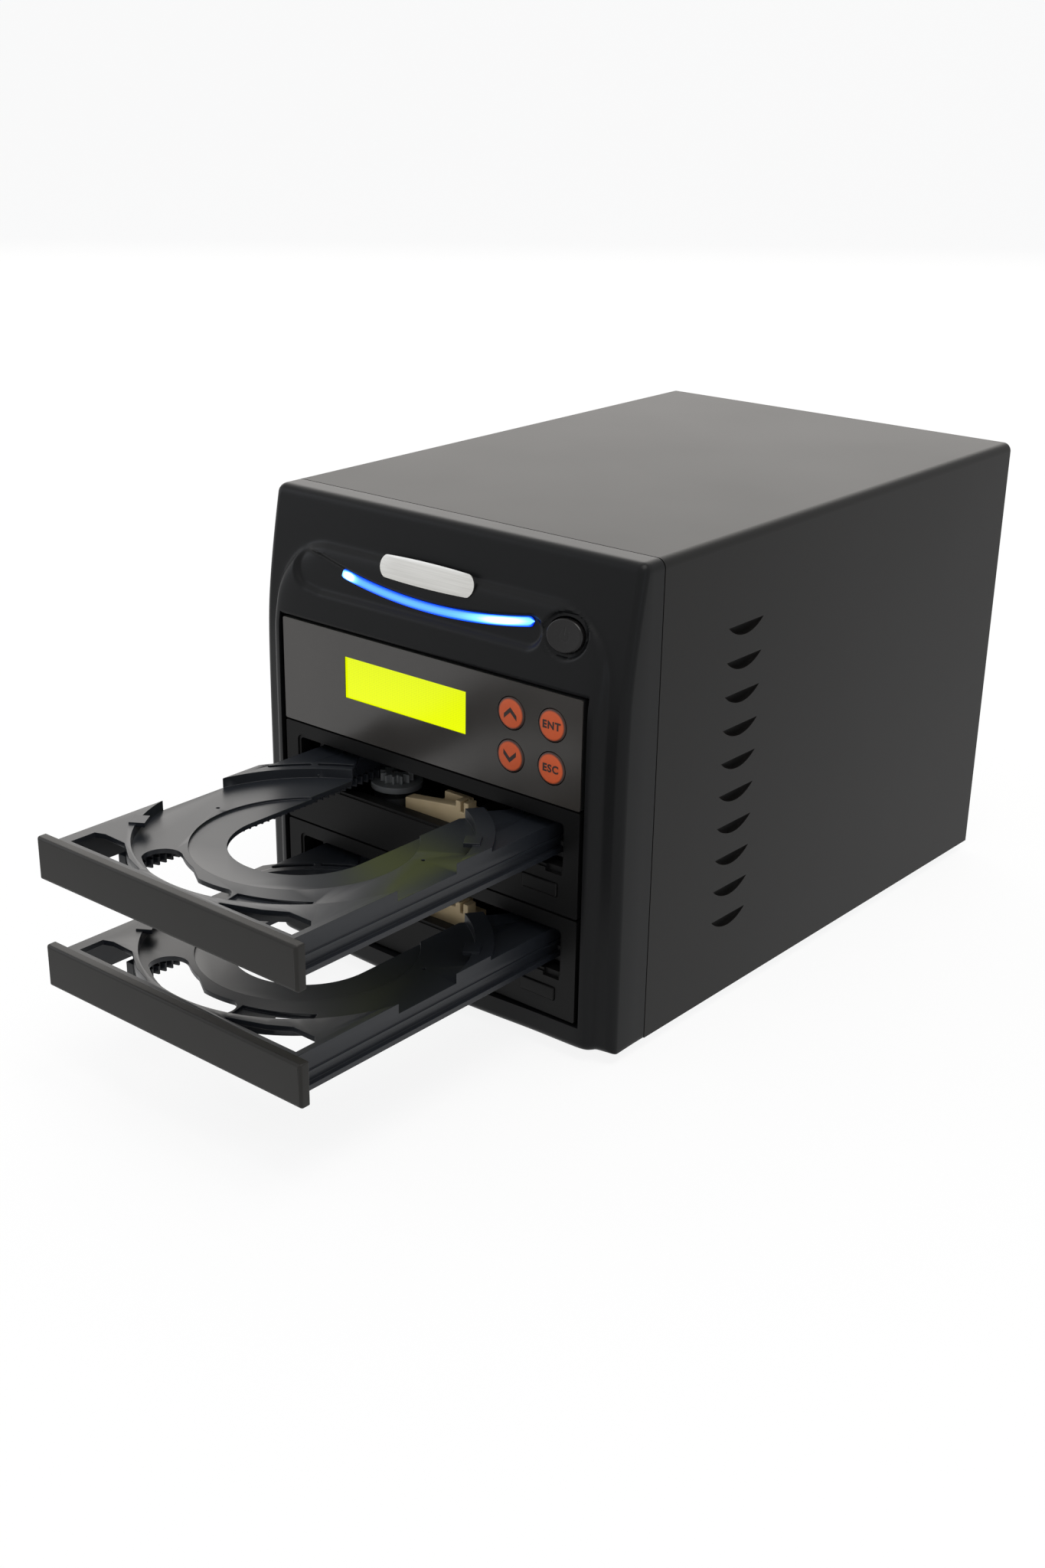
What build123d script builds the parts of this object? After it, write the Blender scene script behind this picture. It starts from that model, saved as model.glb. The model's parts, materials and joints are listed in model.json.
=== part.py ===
"""One-to-one optical disc duplicator tower.

A small steel tower with a moulded front bezel. Three half-height bays sit one
above the other behind the bezel's window: a control panel with a display and
four keys at the top, and two optical disc drives below it, both with their
trays out. A power supply and an exhaust fan fill the space behind the drives.

All lengths are in millimetres. The front faces -Y, +X is to the right of
someone facing it, and +Z is up. The origin is on the floor, under the middle
of the object's overall length with both trays fully out.
"""

from build123d import *
import os
from math import cos, pi, radians, sin, sqrt, tan

os.makedirs("parts", exist_ok=True)

# ---------------------------------------------------------------- driving sizes
# Steel case
CASE_W = 178.5          # width over the side panels
CASE_H = 184.5          # height of the case, without the feet
CASE_D = 250.3          # length of the wrapped cover, seam to back edge
SHEET = 1.0             # thickness of the steel sheet
CASE_CORNER_R = 3.5     # bend radius along the two long top edges
FIT = 0.3               # clearance between pieces that are fitted together
SEAM = 0.5              # open line between the bezel and the cover

# Feet
FOOT_H = 4.0
FOOT_R = 8.0
FOOT_INSET_X = 24.0     # foot centre, in from the case's side
FOOT_INSET_FRONT = 30.0
FOOT_INSET_BACK = 24.0

# Front bezel
BEZEL_DEPTH = 24.1      # from the cover's front edge to the faceplates' plane
BEZEL_WALL = 2.5
BORDER_BOTTOM = 10.0    # bezel below the lowest bay
BOW_EDGE = 4.6          # how far the side edges stand behind the faceplates
BOW_MID = -3.4          # how far the middle of the lower lip stands before them
SWEEP_Z = 30.0          # height over the case's bottom where the face starts to lean back
SWEEP_TOP = 13.2        # how far the top edge stands behind the faceplates
BEZEL_CORNER_R = 4.5
SLAB_Y = -0.8           # raised front slab, against the faceplates' plane
SLAB_HALF_W = 80.0
SLAB_TOP_DROP = 18.5    # slab's top, below the case's top
SLAB_CORNER_R = 24.0
SLAB_SKIRT = 12.0       # depth over which the slab's sides slope
SLAB_DRAFT = 22.0       # slope of the slab's sides, degrees
LEAN_DROP = 51.0        # where the slab starts to lean back, below the case's top
LEAN_DEG = 12.0

# Bays and faceplates
BAY_PITCH = 42.3
FACEPLATE_W = 148.4
FACEPLATE_H = 41.5
FACEPLATE_T = 3.0
BAY_GAP_X = 2.1         # open line at the sides of the faceplates
BAY_GAP_Z = 1.0         # open line above and below the stack of faceplates

# Light bar, power button and badge, on the leaning part of the slab
BAR_HALF = 47.0
BAR_T = 3.9
BAR_SAG = 4.8
BAR_V = 25.4            # ends of the bar's middle line, up the slope
SLOT_LEFT = 71.5          # left end of the dished slot the bar lies in
SLOT_RIGHT = 51.0
SLOT_LOW_V = 15.2
SLOT_DEPTH = 1.4
POWER_X = 61.6
POWER_V = 23.2
POWER_W = 16.2
POWER_H = 12.4
POWER_RING = 2.1        # width of the dished ring around the cap
POWER_TRAVEL = 2.0
BADGE_X = -4.0
BADGE_W = 46.0
BADGE_H = 9.5
BADGE_V = 32.0
BADGE_T = 0.8

# Control panel
OVERLAY_T = 0.4
LCD_X = -10.2
LCD_DROP = 17.4         # display centre, below the faceplate's top
LCD_W = 61.4
LCD_H = 16.5
KEY_D = 12.2
KEY_X = 51.6            # middle of the four keys
KEY_DROP = 20.2
KEY_PITCH_X = 18.8
KEY_PITCH_Z = 16.2
KEY_PROUD = 0.7
KEY_TRAVEL = 0.6

# Optical drives
DRIVE_W = 146.0
DRIVE_H = 40.6
DRIVE_D = 168.0         # behind the faceplates' plane
DRIVE_WALL = 0.8
OPEN_W = 133.4          # tray opening in the faceplate
OPEN_H = 17.5
OPEN_DROP = 6.0         # top of the opening, below the faceplate's top
EJECT_X = 56.7
EJECT_W = 16.8
EJECT_H = 5.8
EJECT_DROP = 32.4
EJECT_PROUD = 0.6
EJECT_TRAVEL = 1.5

# Disc tray
TRAY_OUT = 130.4        # travel, and how far the tray's front stands out
TRAY_FRONT_W = 130.0
TRAY_FRONT_H = 16.4
TRAY_FRONT_T = 4.2
TRAY_BODY_W = 118.0
TRAY_FLANGE_W = 122.0
TRAY_L = 163.0          # front face to the rear end of the arms
TRAY_WALL = 1.8
RIM_DROP = 0.8          # rim, below the top of the tray's front
DISC_Y = 67.4           # disc centre, behind the tray's front face
DISC_R = 60.8
DISC_DEPTH = 3.8
SMALL_R = 41.0          # step for 80 mm discs
SMALL_DEPTH = 0.9
HUB_R = 27.4            # central cut-out
FLOOR_T = 1.8
ARM_DROP = 1.7          # arms behind the dish, below the rim
RACK_DROP = 6.0         # lower edge of the rack, below the tray's middle ring

# Loader inside each drive
GEAR_TEETH = 12
GEAR_MODULE = 1.0
GEAR_X = -32.0
GEAR_Y = 19.0
PULLEY_R = 10.4
CAM_TRAVEL = 10.0
SLED_W = 46.0
SLED_L = 100.0
SLED_LIFT_DEG = 4.0
TABLE_R = 15.0
CLAMPER_R = 14.0
PICKUP_TRAVEL = 32.0

# Power supply, inlet, switch and exhaust fan
PSU_W = 125.0
PSU_H = 63.5
PSU_D = 100.0
INLET_X = -40.0
INLET_W = 24.6          # socket cavity
INLET_H = 16.8
INLET_DEPTH = 17.0
ROCKER_X = -10.0
ROCKER_W = 13.0
ROCKER_H = 19.4
ROCKER_DEG = 9.0
FAN_SIZE = 80.0
FAN_T = 25.0
FAN_PITCH = 71.5        # screw holes, centre to centre
REAR_PROUD = 2.4        # grille and inlet flange, behind the rear panel

# Cooling louvres, on both sides of the cover
LOUVRES = 10
LOUVRE_PITCH = 13.07
LOUVRE_CHORD = 22.5
LOUVRE_SAG = 4.4
LOUVRE_FRONT = 65.0     # chord's front end, behind the faceplates' plane
LOUVRE_TOP = 34.0       # first chord, below the case's top

# ------------------------------------------------------------- derived places
LENGTH = TRAY_OUT + BEZEL_DEPTH + CASE_D + REAR_PROUD
FACE_Y = TRAY_OUT - LENGTH / 2                 # the faceplates' front plane
SEAM_Y = FACE_Y + BEZEL_DEPTH                  # front edge of the cover
BACK_Y = SEAM_Y + CASE_D                       # back edge of the cover
PANEL_Y = BACK_Y - SHEET                       # inner face of the rear panel
Z0 = FOOT_H                                    # bottom of the case
Z1 = FOOT_H + CASE_H                           # top of the case
BAY_Z = Z0 + BORDER_BOTTOM                     # bottom of the stack of bays
BAYS_TOP = BAY_Z + 3 * BAY_PITCH
UPPER_Z = BAY_Z + BAY_PITCH + (BAY_PITCH - FACEPLATE_H) / 2   # upper drive's faceplate
PANEL_Z = UPPER_Z + BAY_PITCH                  # control panel's bottom edge
PANEL_TOP = PANEL_Z + FACEPLATE_H
HOUSE_Z0 = UPPER_Z + 0.4                       # bottom of the upper drive's housing
LEAN_Z = Z1 - LEAN_DROP                        # where the slab's leaning part starts
SWITCH_Z = LEAN_Z + POWER_V * cos(radians(LEAN_DEG)) - 2.5   # power switch behind its button


def front(y):
    """A sketch plane facing the front at depth y: sketch x is X, sketch y is Z."""
    return Plane.XZ.offset(-y)


def block(x0, x1, y0, y1, z0, z1, mode=Mode.ADD):
    """A block between two corners, in the builder that is open."""
    with Locations(((x0 + x1) / 2, (y0 + y1) / 2, (z0 + z1) / 2)):
        return Box(x1 - x0, y1 - y0, z1 - z0, mode=mode)


def post(x, y, z0, z1, r, mode=Mode.ADD):
    """An upright round post or hole between two heights."""
    with Locations((x, y, (z0 + z1) / 2)):
        return Cylinder(r, z1 - z0, mode=mode)


def bar_y(x, z, y0, y1, r, mode=Mode.ADD):
    """A round bar or hole along Y between two depths."""
    with Locations((x, (y0 + y1) / 2, z)):
        return Cylinder(r, y1 - y0, rotation=(90, 0, 0), mode=mode)


def save(part, name):
    part.label = name
    export_step(part, f"parts/{name}.step")


def save_drive(part, name):
    """Write one piece for both drives. It is drawn for the upper one."""
    save(part, f"upper_{name}")
    save(part.moved(Location((0, 0, -BAY_PITCH))), f"lower_{name}")


# ================================================================ case and chassis
# Half-moon louvre: a lens-shaped scoop pressed inwards below a straight slit.
with BuildPart() as scoop_void:
    with BuildSketch(Plane.YZ):
        with BuildLine():
            Line((-LOUVRE_CHORD / 2, 0), (LOUVRE_CHORD / 2, 0))
            ThreePointArc((-LOUVRE_CHORD / 2, 0), (0, -LOUVRE_SAG), (LOUVRE_CHORD / 2, 0))
        make_face()
    revolve(axis=Axis.Y, revolution_arc=90)

with BuildPart() as scoop:
    with BuildSketch(Plane.YZ):
        with BuildLine():
            Line((-LOUVRE_CHORD / 2 - SHEET, 0), (LOUVRE_CHORD / 2 + SHEET, 0))
            ThreePointArc((-LOUVRE_CHORD / 2 - SHEET, 0), (0, -LOUVRE_SAG - SHEET), (LOUVRE_CHORD / 2 + SHEET, 0))
        make_face()
    revolve(axis=Axis.Y, revolution_arc=90)
    add(scoop_void.part, mode=Mode.SUBTRACT)

LOUVRE_PLACES = [
    (CASE_W / 2, FACE_Y + LOUVRE_FRONT + LOUVRE_CHORD / 2, Z1 - LOUVRE_TOP - i * LOUVRE_PITCH)
    for i in range(LOUVRES)
]

with BuildPart() as case_cover:
    with BuildSketch(front(BACK_Y)) as cover_profile:
        with Locations((0, (Z0 + Z1) / 2)):
            Rectangle(CASE_W, CASE_H)
        fillet(cover_profile.vertices().group_by(Axis.Y)[-1], CASE_CORNER_R)
    extrude(amount=CASE_D)
    with BuildSketch(front(BACK_Y)) as cover_inside:
        with Locations((0, (Z0 + Z1 - SHEET) / 2)):
            Rectangle(CASE_W - 2 * SHEET, CASE_H - SHEET)
        fillet(cover_inside.vertices().group_by(Axis.Y)[-1], CASE_CORNER_R - SHEET)
    extrude(amount=CASE_D, mode=Mode.SUBTRACT)
    for place in LOUVRE_PLACES:
        with Locations(place):
            add(scoop_void.part, mode=Mode.SUBTRACT)
        with Locations(place):
            add(scoop.part)
    for place in LOUVRE_PLACES:
        flipped = (-place[0], place[1], place[2])
        with Locations(flipped):
            add(mirror(scoop_void.part, about=Plane.YZ, mode=Mode.PRIVATE), mode=Mode.SUBTRACT)
        with Locations(flipped):
            add(mirror(scoop.part, about=Plane.YZ, mode=Mode.PRIVATE))
save(case_cover.part, "case_cover")

# Floor pan: floor, two upturned sides and a front and a back flange.
PAN_IN = SHEET + FIT                # the pan's sides stand just inside the cover
PAN_SIDE_H = 16.0
with BuildPart() as chassis_pan:
    hw = CASE_W / 2 - PAN_IN
    block(-hw, hw, SEAM_Y + FIT, BACK_Y - FIT, Z0, Z0 + SHEET)
    block(-hw, -hw + SHEET, SEAM_Y + FIT, BACK_Y - FIT, Z0 + SHEET, Z0 + PAN_SIDE_H)
    block(hw - SHEET, hw, SEAM_Y + FIT, BACK_Y - FIT, Z0 + SHEET, Z0 + PAN_SIDE_H)
    for sx in (-1, 1):
        for y in (SEAM_Y + FOOT_INSET_FRONT - BEZEL_DEPTH, BACK_Y - FOOT_INSET_BACK):
            post(sx * (CASE_W / 2 - FOOT_INSET_X), y, Z0, Z0 + SHEET, 1.9, Mode.SUBTRACT)
save(chassis_pan.part, "chassis_pan")

# Four soft feet, each with a stem pressed through the floor.
with BuildPart() as feet:
    for sx in (-1, 1):
        for y in (SEAM_Y + FOOT_INSET_FRONT - BEZEL_DEPTH, BACK_Y - FOOT_INSET_BACK):
            x = sx * (CASE_W / 2 - FOOT_INSET_X)
            with BuildSketch(Plane((x, y, 0))):
                Circle(FOOT_R - 1.0)
            with BuildSketch(Plane((x, y, Z0))):
                Circle(FOOT_R)
            loft()
            post(x, y, Z0, Z0 + SHEET, 1.9)
save(feet.part, "feet")

# Front frame: a steel plate behind the bezel with the window of the bays.
WINDOW_W = DRIVE_W + 2 * FIT
FRAME_Y = SEAM_Y + 4.0
with BuildPart() as front_frame:
    hw = CASE_W / 2 - PAN_IN - SHEET - FIT
    block(-hw, hw, FRAME_Y, FRAME_Y + SHEET, Z0 + SHEET, Z1 - SHEET - FIT)
    block(-hw, hw, FRAME_Y + SHEET, FRAME_Y + 12, Z1 - 2 * SHEET - FIT, Z1 - SHEET - FIT)
    block(-hw, hw, FRAME_Y + SHEET, FRAME_Y + 12, Z0 + SHEET, Z0 + 2 * SHEET)
    block(-WINDOW_W / 2, WINDOW_W / 2, FRAME_Y - 1, FRAME_Y + SHEET + 1,
          BAY_Z - 0.5, BAYS_TOP + 0.5, Mode.SUBTRACT)
    with BuildSketch(front(FRAME_Y + SHEET + 1)):
        with Locations((POWER_X, SWITCH_Z)):
            Rectangle(13.6, 13.6)
        with Locations((0, BAYS_TOP + 22)):
            SlotOverall(80, 9)
    extrude(amount=SHEET + 2, mode=Mode.SUBTRACT)
save(front_frame.part, "front_frame")

# Drive cage: one folded sheet, two sides and a top, with its feet turned out.
CAGE_X = DRIVE_W / 2 + FIT
CAGE_TOP = BAYS_TOP + 1.5
CAGE_Y0 = FRAME_Y + SHEET
CAGE_Y1 = FACE_Y + DRIVE_D - 6
with BuildPart() as drive_cage:
    block(-CAGE_X - SHEET, CAGE_X + SHEET, CAGE_Y0, CAGE_Y1, Z0 + 2 * SHEET, CAGE_TOP)
    block(-CAGE_X, CAGE_X, CAGE_Y0 - 1, CAGE_Y1 + 1, Z0 + SHEET, CAGE_TOP - SHEET, Mode.SUBTRACT)
    for sx in (-1, 1):
        inner, outer = sorted((sx * CAGE_X, sx * (CAGE_X + 9)))
        block(inner, outer, CAGE_Y0 + 12, CAGE_Y1, Z0 + 2 * SHEET, Z0 + 3 * SHEET)
        ledge_in, ledge_out = sorted((sx * (CAGE_X - 4), sx * (CAGE_X + 0.5)))
        for level in (HOUSE_Z0 - BAY_PITCH, HOUSE_Z0):
            block(ledge_in, ledge_out, CAGE_Y0, CAGE_Y1, level - SHEET, level)
    with BuildSketch(Plane.XY.offset(CAGE_TOP + 1)):
        with Locations((0, (CAGE_Y0 + CAGE_Y1) / 2)):
            RectangleRounded(96, 84, 8)
    extrude(amount=-SHEET - 3, mode=Mode.SUBTRACT)
    with BuildSketch(Plane.YZ.offset(-CAGE_X - 5)):
        for z in (UPPER_Z - BAY_PITCH + 22, UPPER_Z + 22, PANEL_Z + 22):
            with Locations(((CAGE_Y0 + CAGE_Y1) / 2 + 8, z)):
                SlotOverall(70, 16)
    extrude(amount=2 * CAGE_X + 10, mode=Mode.SUBTRACT)
save(drive_cage.part, "drive_cage")

# Rear panel: holes for the fan, the supply's inlet and switch and the vents.
FAN_Z = Z0 + 12 + FAN_SIZE / 2
PSU_Z1 = Z1 - SHEET - 1.0
PSU_Z0 = PSU_Z1 - PSU_H
SOCKET_Z = PSU_Z0 + PSU_H / 2
PSU_Y1 = PANEL_Y
PSU_Y0 = PSU_Y1 - PSU_D
SCREW_R = 1.7
PSU_SCREWS = [(sx * (PSU_W / 2 - 4.5), z) for sx in (-1, 1) for z in (PSU_Z0 + 5.5, PSU_Z1 - 5.5)]
COVER_SCREWS = [(sx * (CASE_W / 2 - 8), z) for sx in (-1, 1) for z in (Z0 + 36, Z0 + 100)]
with BuildPart() as rear_panel:
    hw = CASE_W / 2 - PAN_IN - SHEET - FIT
    block(-hw, hw, PANEL_Y, BACK_Y, Z0 + SHEET, Z1 - SHEET - FIT)
    block(-hw, hw, PANEL_Y - 10, PANEL_Y, Z0 + SHEET, Z0 + 2 * SHEET)
    bar_y(0, FAN_Z, PANEL_Y - 1, BACK_Y + 1, FAN_SIZE / 2 - 2, Mode.SUBTRACT)
    for sx in (-1, 1):
        for sz in (-1, 1):
            bar_y(sx * FAN_PITCH / 2, FAN_Z + sz * FAN_PITCH / 2, PANEL_Y - 1, BACK_Y + 1, 2.2, Mode.SUBTRACT)
    for x, z in PSU_SCREWS + COVER_SCREWS:
        bar_y(x, z, PANEL_Y - 1, BACK_Y + 1, SCREW_R + 0.1, Mode.SUBTRACT)
    block(INLET_X - INLET_W / 2 - 2.5, INLET_X + INLET_W / 2 + 2.5, PANEL_Y - 1, BACK_Y + 1,
          SOCKET_Z - INLET_H / 2 - 2.5, SOCKET_Z + INLET_H / 2 + 2.5, Mode.SUBTRACT)
    block(ROCKER_X - ROCKER_W / 2 - 1.5, ROCKER_X + ROCKER_W / 2 + 1.5, PANEL_Y - 1, BACK_Y + 1,
          SOCKET_Z - ROCKER_H / 2 - 1.5, SOCKET_Z + ROCKER_H / 2 + 1.5, Mode.SUBTRACT)
    with BuildSketch(front(BACK_Y + 1)):
        with Locations((32, SOCKET_Z)):
            with HexLocations(3.4, 6, 7):
                RegularPolygon(2.7, 6)
    extrude(amount=SHEET + 2, mode=Mode.SUBTRACT)
save(rear_panel.part, "rear_panel")

# ===================================================================== front bezel
FRONT_MOST = FACE_Y + BOW_MID
SIDE_Y = FACE_Y + BOW_EDGE
TOP_Y = FACE_Y + SWEEP_TOP
BEZEL_BACK = SEAM_Y - SEAM
SLAB_TOP = Z1 - SLAB_TOP_DROP
SWEEP_START = Z0 + SWEEP_Z
# The sweep is one arc that leaves the upright at SWEEP_START.
SWEEP_RISE = Z1 - SWEEP_START
SWEEP_BACK = TOP_Y - FRONT_MOST
SWEEP_R = (SWEEP_RISE ** 2 + SWEEP_BACK ** 2) / (2 * SWEEP_BACK)


def sweep_y(z):
    """Depth of the swept front face at height z."""
    rise = z - SWEEP_START
    return FRONT_MOST + SWEEP_R - sqrt(SWEEP_R ** 2 - rise ** 2)


slab_plane = Plane(
    origin=(0, FACE_Y + SLAB_Y, LEAN_Z),
    x_dir=(1, 0, 0),
    z_dir=(0, -cos(radians(LEAN_DEG)), sin(radians(LEAN_DEG))),
)

bezel_solids = {}
for inset in (0.0, BEZEL_WALL):
    # Bowed in plan ...
    with BuildPart() as bowed:
        with BuildSketch(Plane.XY.offset(Z0 + inset)):
            with BuildLine():
                hw = CASE_W / 2 - inset
                Polyline((-hw, SIDE_Y + inset), (-hw, BEZEL_BACK), (hw, BEZEL_BACK), (hw, SIDE_Y + inset))
                ThreePointArc((hw, SIDE_Y + inset), (0, FRONT_MOST + inset), (-hw, SIDE_Y + inset))
            make_face()
        extrude(amount=CASE_H - 2 * inset)
    # ... swept back towards the top ...
    with BuildPart() as swept:
        with BuildSketch(Plane.YZ.offset(-CASE_W / 2 - 1)):
            with BuildLine():
                y0 = FRONT_MOST + inset
                Polyline((y0, SWEEP_START), (y0, Z0 - 1), (BEZEL_BACK + 1, Z0 - 1), (BEZEL_BACK + 1, Z1 + 1),
                         (sweep_y(Z1) + inset, Z1 + 1), (sweep_y(Z1) + inset, Z1))
                mid_z = (SWEEP_START + Z1) / 2
                ThreePointArc((sweep_y(Z1) + inset, Z1), (sweep_y(mid_z) + inset, mid_z), (y0, SWEEP_START))
            make_face()
        extrude(amount=CASE_W + 2)
    # ... and rounded along the outline.
    with BuildPart() as outline:
        with BuildSketch(front(BEZEL_BACK)) as face_outline:
            with Locations((0, (Z0 + Z1) / 2)):
                Rectangle(CASE_W - 2 * inset, CASE_H - 2 * inset)
            fillet(face_outline.vertices().group_by(Axis.Y)[-1], CASE_CORNER_R)
        extrude(amount=BEZEL_DEPTH + 10)
        add(bowed.part, mode=Mode.INTERSECT)
        add(swept.part, mode=Mode.INTERSECT)
    if inset == 0:
        # Soften the upright front corners and the top edge of the face.
        with BuildPart() as rounded:
            add(outline.part)
            front_edges = (
                rounded.edges().filter_by(Axis.Z)
                .filter_by_position(Axis.Y, SIDE_Y - 0.1, SIDE_Y + 0.1)
            )
            chamfer(front_edges, BEZEL_CORNER_R * 0.5)
        frame_solid = rounded.part
    else:
        frame_solid = outline.part
    # Raised slab inside the arch: a drafted outline cut by an upright and a leaning plane.
    with BuildPart() as slab:
        slab_y = FACE_Y + SLAB_Y + inset
        skirt = SLAB_SKIRT * tan(radians(SLAB_DRAFT)) if inset == 0 else 0
        half_w = SLAB_HALF_W - inset + skirt
        low, high = Z0 + inset, SLAB_TOP - inset + skirt
        with BuildSketch(front(slab_y + SLAB_SKIRT)) as arch:
            with Locations((0, (low + high) / 2)):
                Rectangle(2 * half_w, high - low)
            fillet(arch.vertices().group_by(Axis.Y)[-1], SLAB_CORNER_R + skirt)
        extrude(amount=SLAB_SKIRT, taper=SLAB_DRAFT if inset == 0 else 0)
        block(-half_w, half_w, slab_y + SLAB_SKIRT, BEZEL_BACK, low, high - SLAB_CORNER_R - skirt)
        with BuildSketch(Plane.YZ.offset(-CASE_W / 2)):
            with BuildLine():
                top_back = slab_y + (Z1 - LEAN_Z) * tan(radians(LEAN_DEG))
                Polyline((slab_y - 1, Z0 - 1), (slab_y - 1, LEAN_Z), (slab_y, LEAN_Z), (top_back, Z1), (BEZEL_BACK + 1, Z1),
                         (BEZEL_BACK + 1, Z0 - 1), (slab_y - 1, Z0 - 1))
            make_face()
        extrude(amount=CASE_W, mode=Mode.INTERSECT)
    with BuildPart() as whole:
        add(frame_solid)
        add(slab.part)
        if inset == 0:
            block(-CASE_W, CASE_W, SEAM_Y - 60, BEZEL_BACK, Z0 - 20, Z0, Mode.SUBTRACT)
    bezel_solids[inset] = whole.part

# Middle line of the light bar, in the leaning plane's own coordinates
bar_line = ThreePointArc((-BAR_HALF, BAR_V), (0, BAR_V - BAR_SAG), (BAR_HALF, BAR_V))

# The moulding itself: a shell open at the back, with the bays' window and a sleeve around it.
WIN_HALF = FACEPLATE_W / 2 + BAY_GAP_X
WIN_Z0 = BAY_Z + (BAY_PITCH - FACEPLATE_H) / 2 - BAY_GAP_Z
WIN_Z1 = PANEL_TOP + BAY_GAP_Z
with BuildPart() as front_bezel:
    add(bezel_solids[0.0])
    add(bezel_solids[BEZEL_WALL], mode=Mode.SUBTRACT)
    block(-WIN_HALF - 1.8, WIN_HALF + 1.8, FACE_Y + 4, BEZEL_BACK, WIN_Z0 - 1.8, WIN_Z1 + 1.8)
    # Four clips that reach back to the front frame
    for sx in (-1, 1):
        for clip_z in (Z0 + 36, Z1 - 44):
            a, b = sorted((sx * (CASE_W / 2 - BEZEL_WALL - 2.2), sx * (CASE_W / 2 - BEZEL_WALL - 0.2)))
            block(a, b, BEZEL_BACK - 6, FRAME_Y - 0.1, clip_z - 6, clip_z + 6)
            a, b = sorted((sx * (CASE_W / 2 - BEZEL_WALL - 2.2), sx * (CASE_W / 2 - BEZEL_WALL + 0.5)))
            block(a, b, BEZEL_BACK - 6, BEZEL_BACK, clip_z - 6, clip_z + 6)
    block(-WIN_HALF, WIN_HALF, FRONT_MOST - 5, BEZEL_BACK + 1, WIN_Z0, WIN_Z1, Mode.SUBTRACT)
    # Dished slot for the light bar
    with BuildSketch(slab_plane):
        with BuildLine():
            top_v = BAR_V + BAR_T / 2 + 0.2
            ThreePointArc((-BAR_HALF - 13, top_v + 2.4), (0, top_v - BAR_SAG), (BAR_HALF - 1, top_v))
            ThreePointArc((BAR_HALF - 1, top_v), (SLOT_RIGHT, (top_v + SLOT_LOW_V) / 2), (BAR_HALF - 2, SLOT_LOW_V))
            Line((BAR_HALF - 2, SLOT_LOW_V), (-BAR_HALF - 15, SLOT_LOW_V + 1))
            ThreePointArc((-BAR_HALF - 15, SLOT_LOW_V + 1), (-SLOT_LEFT, SLOT_LOW_V + 7), (-BAR_HALF - 13, top_v + 2.4))
        make_face()
    extrude(amount=-SLOT_DEPTH, mode=Mode.SUBTRACT)
    with BuildSketch(slab_plane):
        SlotArc(bar_line, BAR_T + 2 * FIT)
    extrude(amount=-8, mode=Mode.SUBTRACT)
    # Guide tube, dished ring and hole of the power button
    with BuildSketch(slab_plane.offset(-BEZEL_WALL)):
        with Locations((POWER_X, POWER_V)):
            Ellipse(POWER_W / 2 + POWER_RING, POWER_H / 2 + POWER_RING)
    extrude(amount=-6)
    with BuildSketch(slab_plane):
        with Locations((POWER_X, POWER_V)):
            Ellipse(POWER_W / 2 + POWER_RING, POWER_H / 2 + POWER_RING)
    extrude(amount=-SLOT_DEPTH, mode=Mode.SUBTRACT)
    with BuildSketch(slab_plane):
        with Locations((POWER_X, POWER_V)):
            Ellipse(POWER_W / 2 + FIT, POWER_H / 2 + FIT)
    extrude(amount=-20, mode=Mode.SUBTRACT)
    # Posts that carry the lamp board
    with BuildSketch(slab_plane.offset(-BEZEL_WALL + 0.2)):
        with Locations((-28, BAR_V + 7), (28, BAR_V + 7)):
            Circle(2.4)
    extrude(amount=-6)
    # Seat of the badge
    with BuildSketch(slab_plane):
        with Locations((BADGE_X, BADGE_V)):
            SlotOverall(BADGE_W + FIT, BADGE_H + FIT)
    extrude(amount=-BADGE_T / 2, mode=Mode.SUBTRACT)
save(front_bezel.part, "front_bezel")

# Plain badge plate
with BuildPart() as badge_plate:
    with BuildSketch(slab_plane.offset(-BADGE_T / 2)):
        with Locations((BADGE_X, BADGE_V)):
            SlotOverall(BADGE_W, BADGE_H)
    extrude(amount=BADGE_T)
save(badge_plate.part, "badge_plate")

# Curved light bar with a flange behind the bezel's wall
LAMP_BACK = 8.5
with BuildPart() as light_bar:
    with BuildSketch(slab_plane.offset(-LAMP_BACK + 1.6)):
        SlotArc(bar_line, BAR_T)
    extrude(amount=LAMP_BACK - 1.6 - 0.3)
    with BuildSketch(slab_plane.offset(-BEZEL_WALL - 1.4)):
        SlotArc(bar_line, BAR_T + 2.4)
    extrude(amount=1.2)
save(light_bar.part, "light_bar")

# Lamp board with three lamps facing the bar
with BuildPart() as lamp_board:
    with BuildSketch(slab_plane.offset(-LAMP_BACK - 1.6)):
        with Locations((0, BAR_V + 1.0)):
            Rectangle(88, 17)
    extrude(amount=1.6)
    with BuildSketch(slab_plane.offset(-LAMP_BACK)):
        for x in (-34, 0, 34):
            with Locations((x, BAR_V - BAR_SAG * (1 - (x / BAR_HALF) ** 2))):
                Rectangle(3.4, 2.6)
    extrude(amount=1.4)
save(lamp_board.part, "lamp_board")

# Power button: an oval cap with a stem
with BuildPart() as power_button:
    with BuildSketch(slab_plane.offset(-0.2)):
        with Locations((POWER_X, POWER_V)):
            Ellipse(POWER_W / 2, POWER_H / 2)
    extrude(amount=-6.0)
    fillet(power_button.faces().sort_by(Axis.Y)[0].edges(), 0.9)
    with BuildSketch(slab_plane.offset(-6.2)):
        with Locations((POWER_X, POWER_V)):
            Circle(2.5)
    extrude(amount=-6)
save(power_button.part, "power_button")

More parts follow.
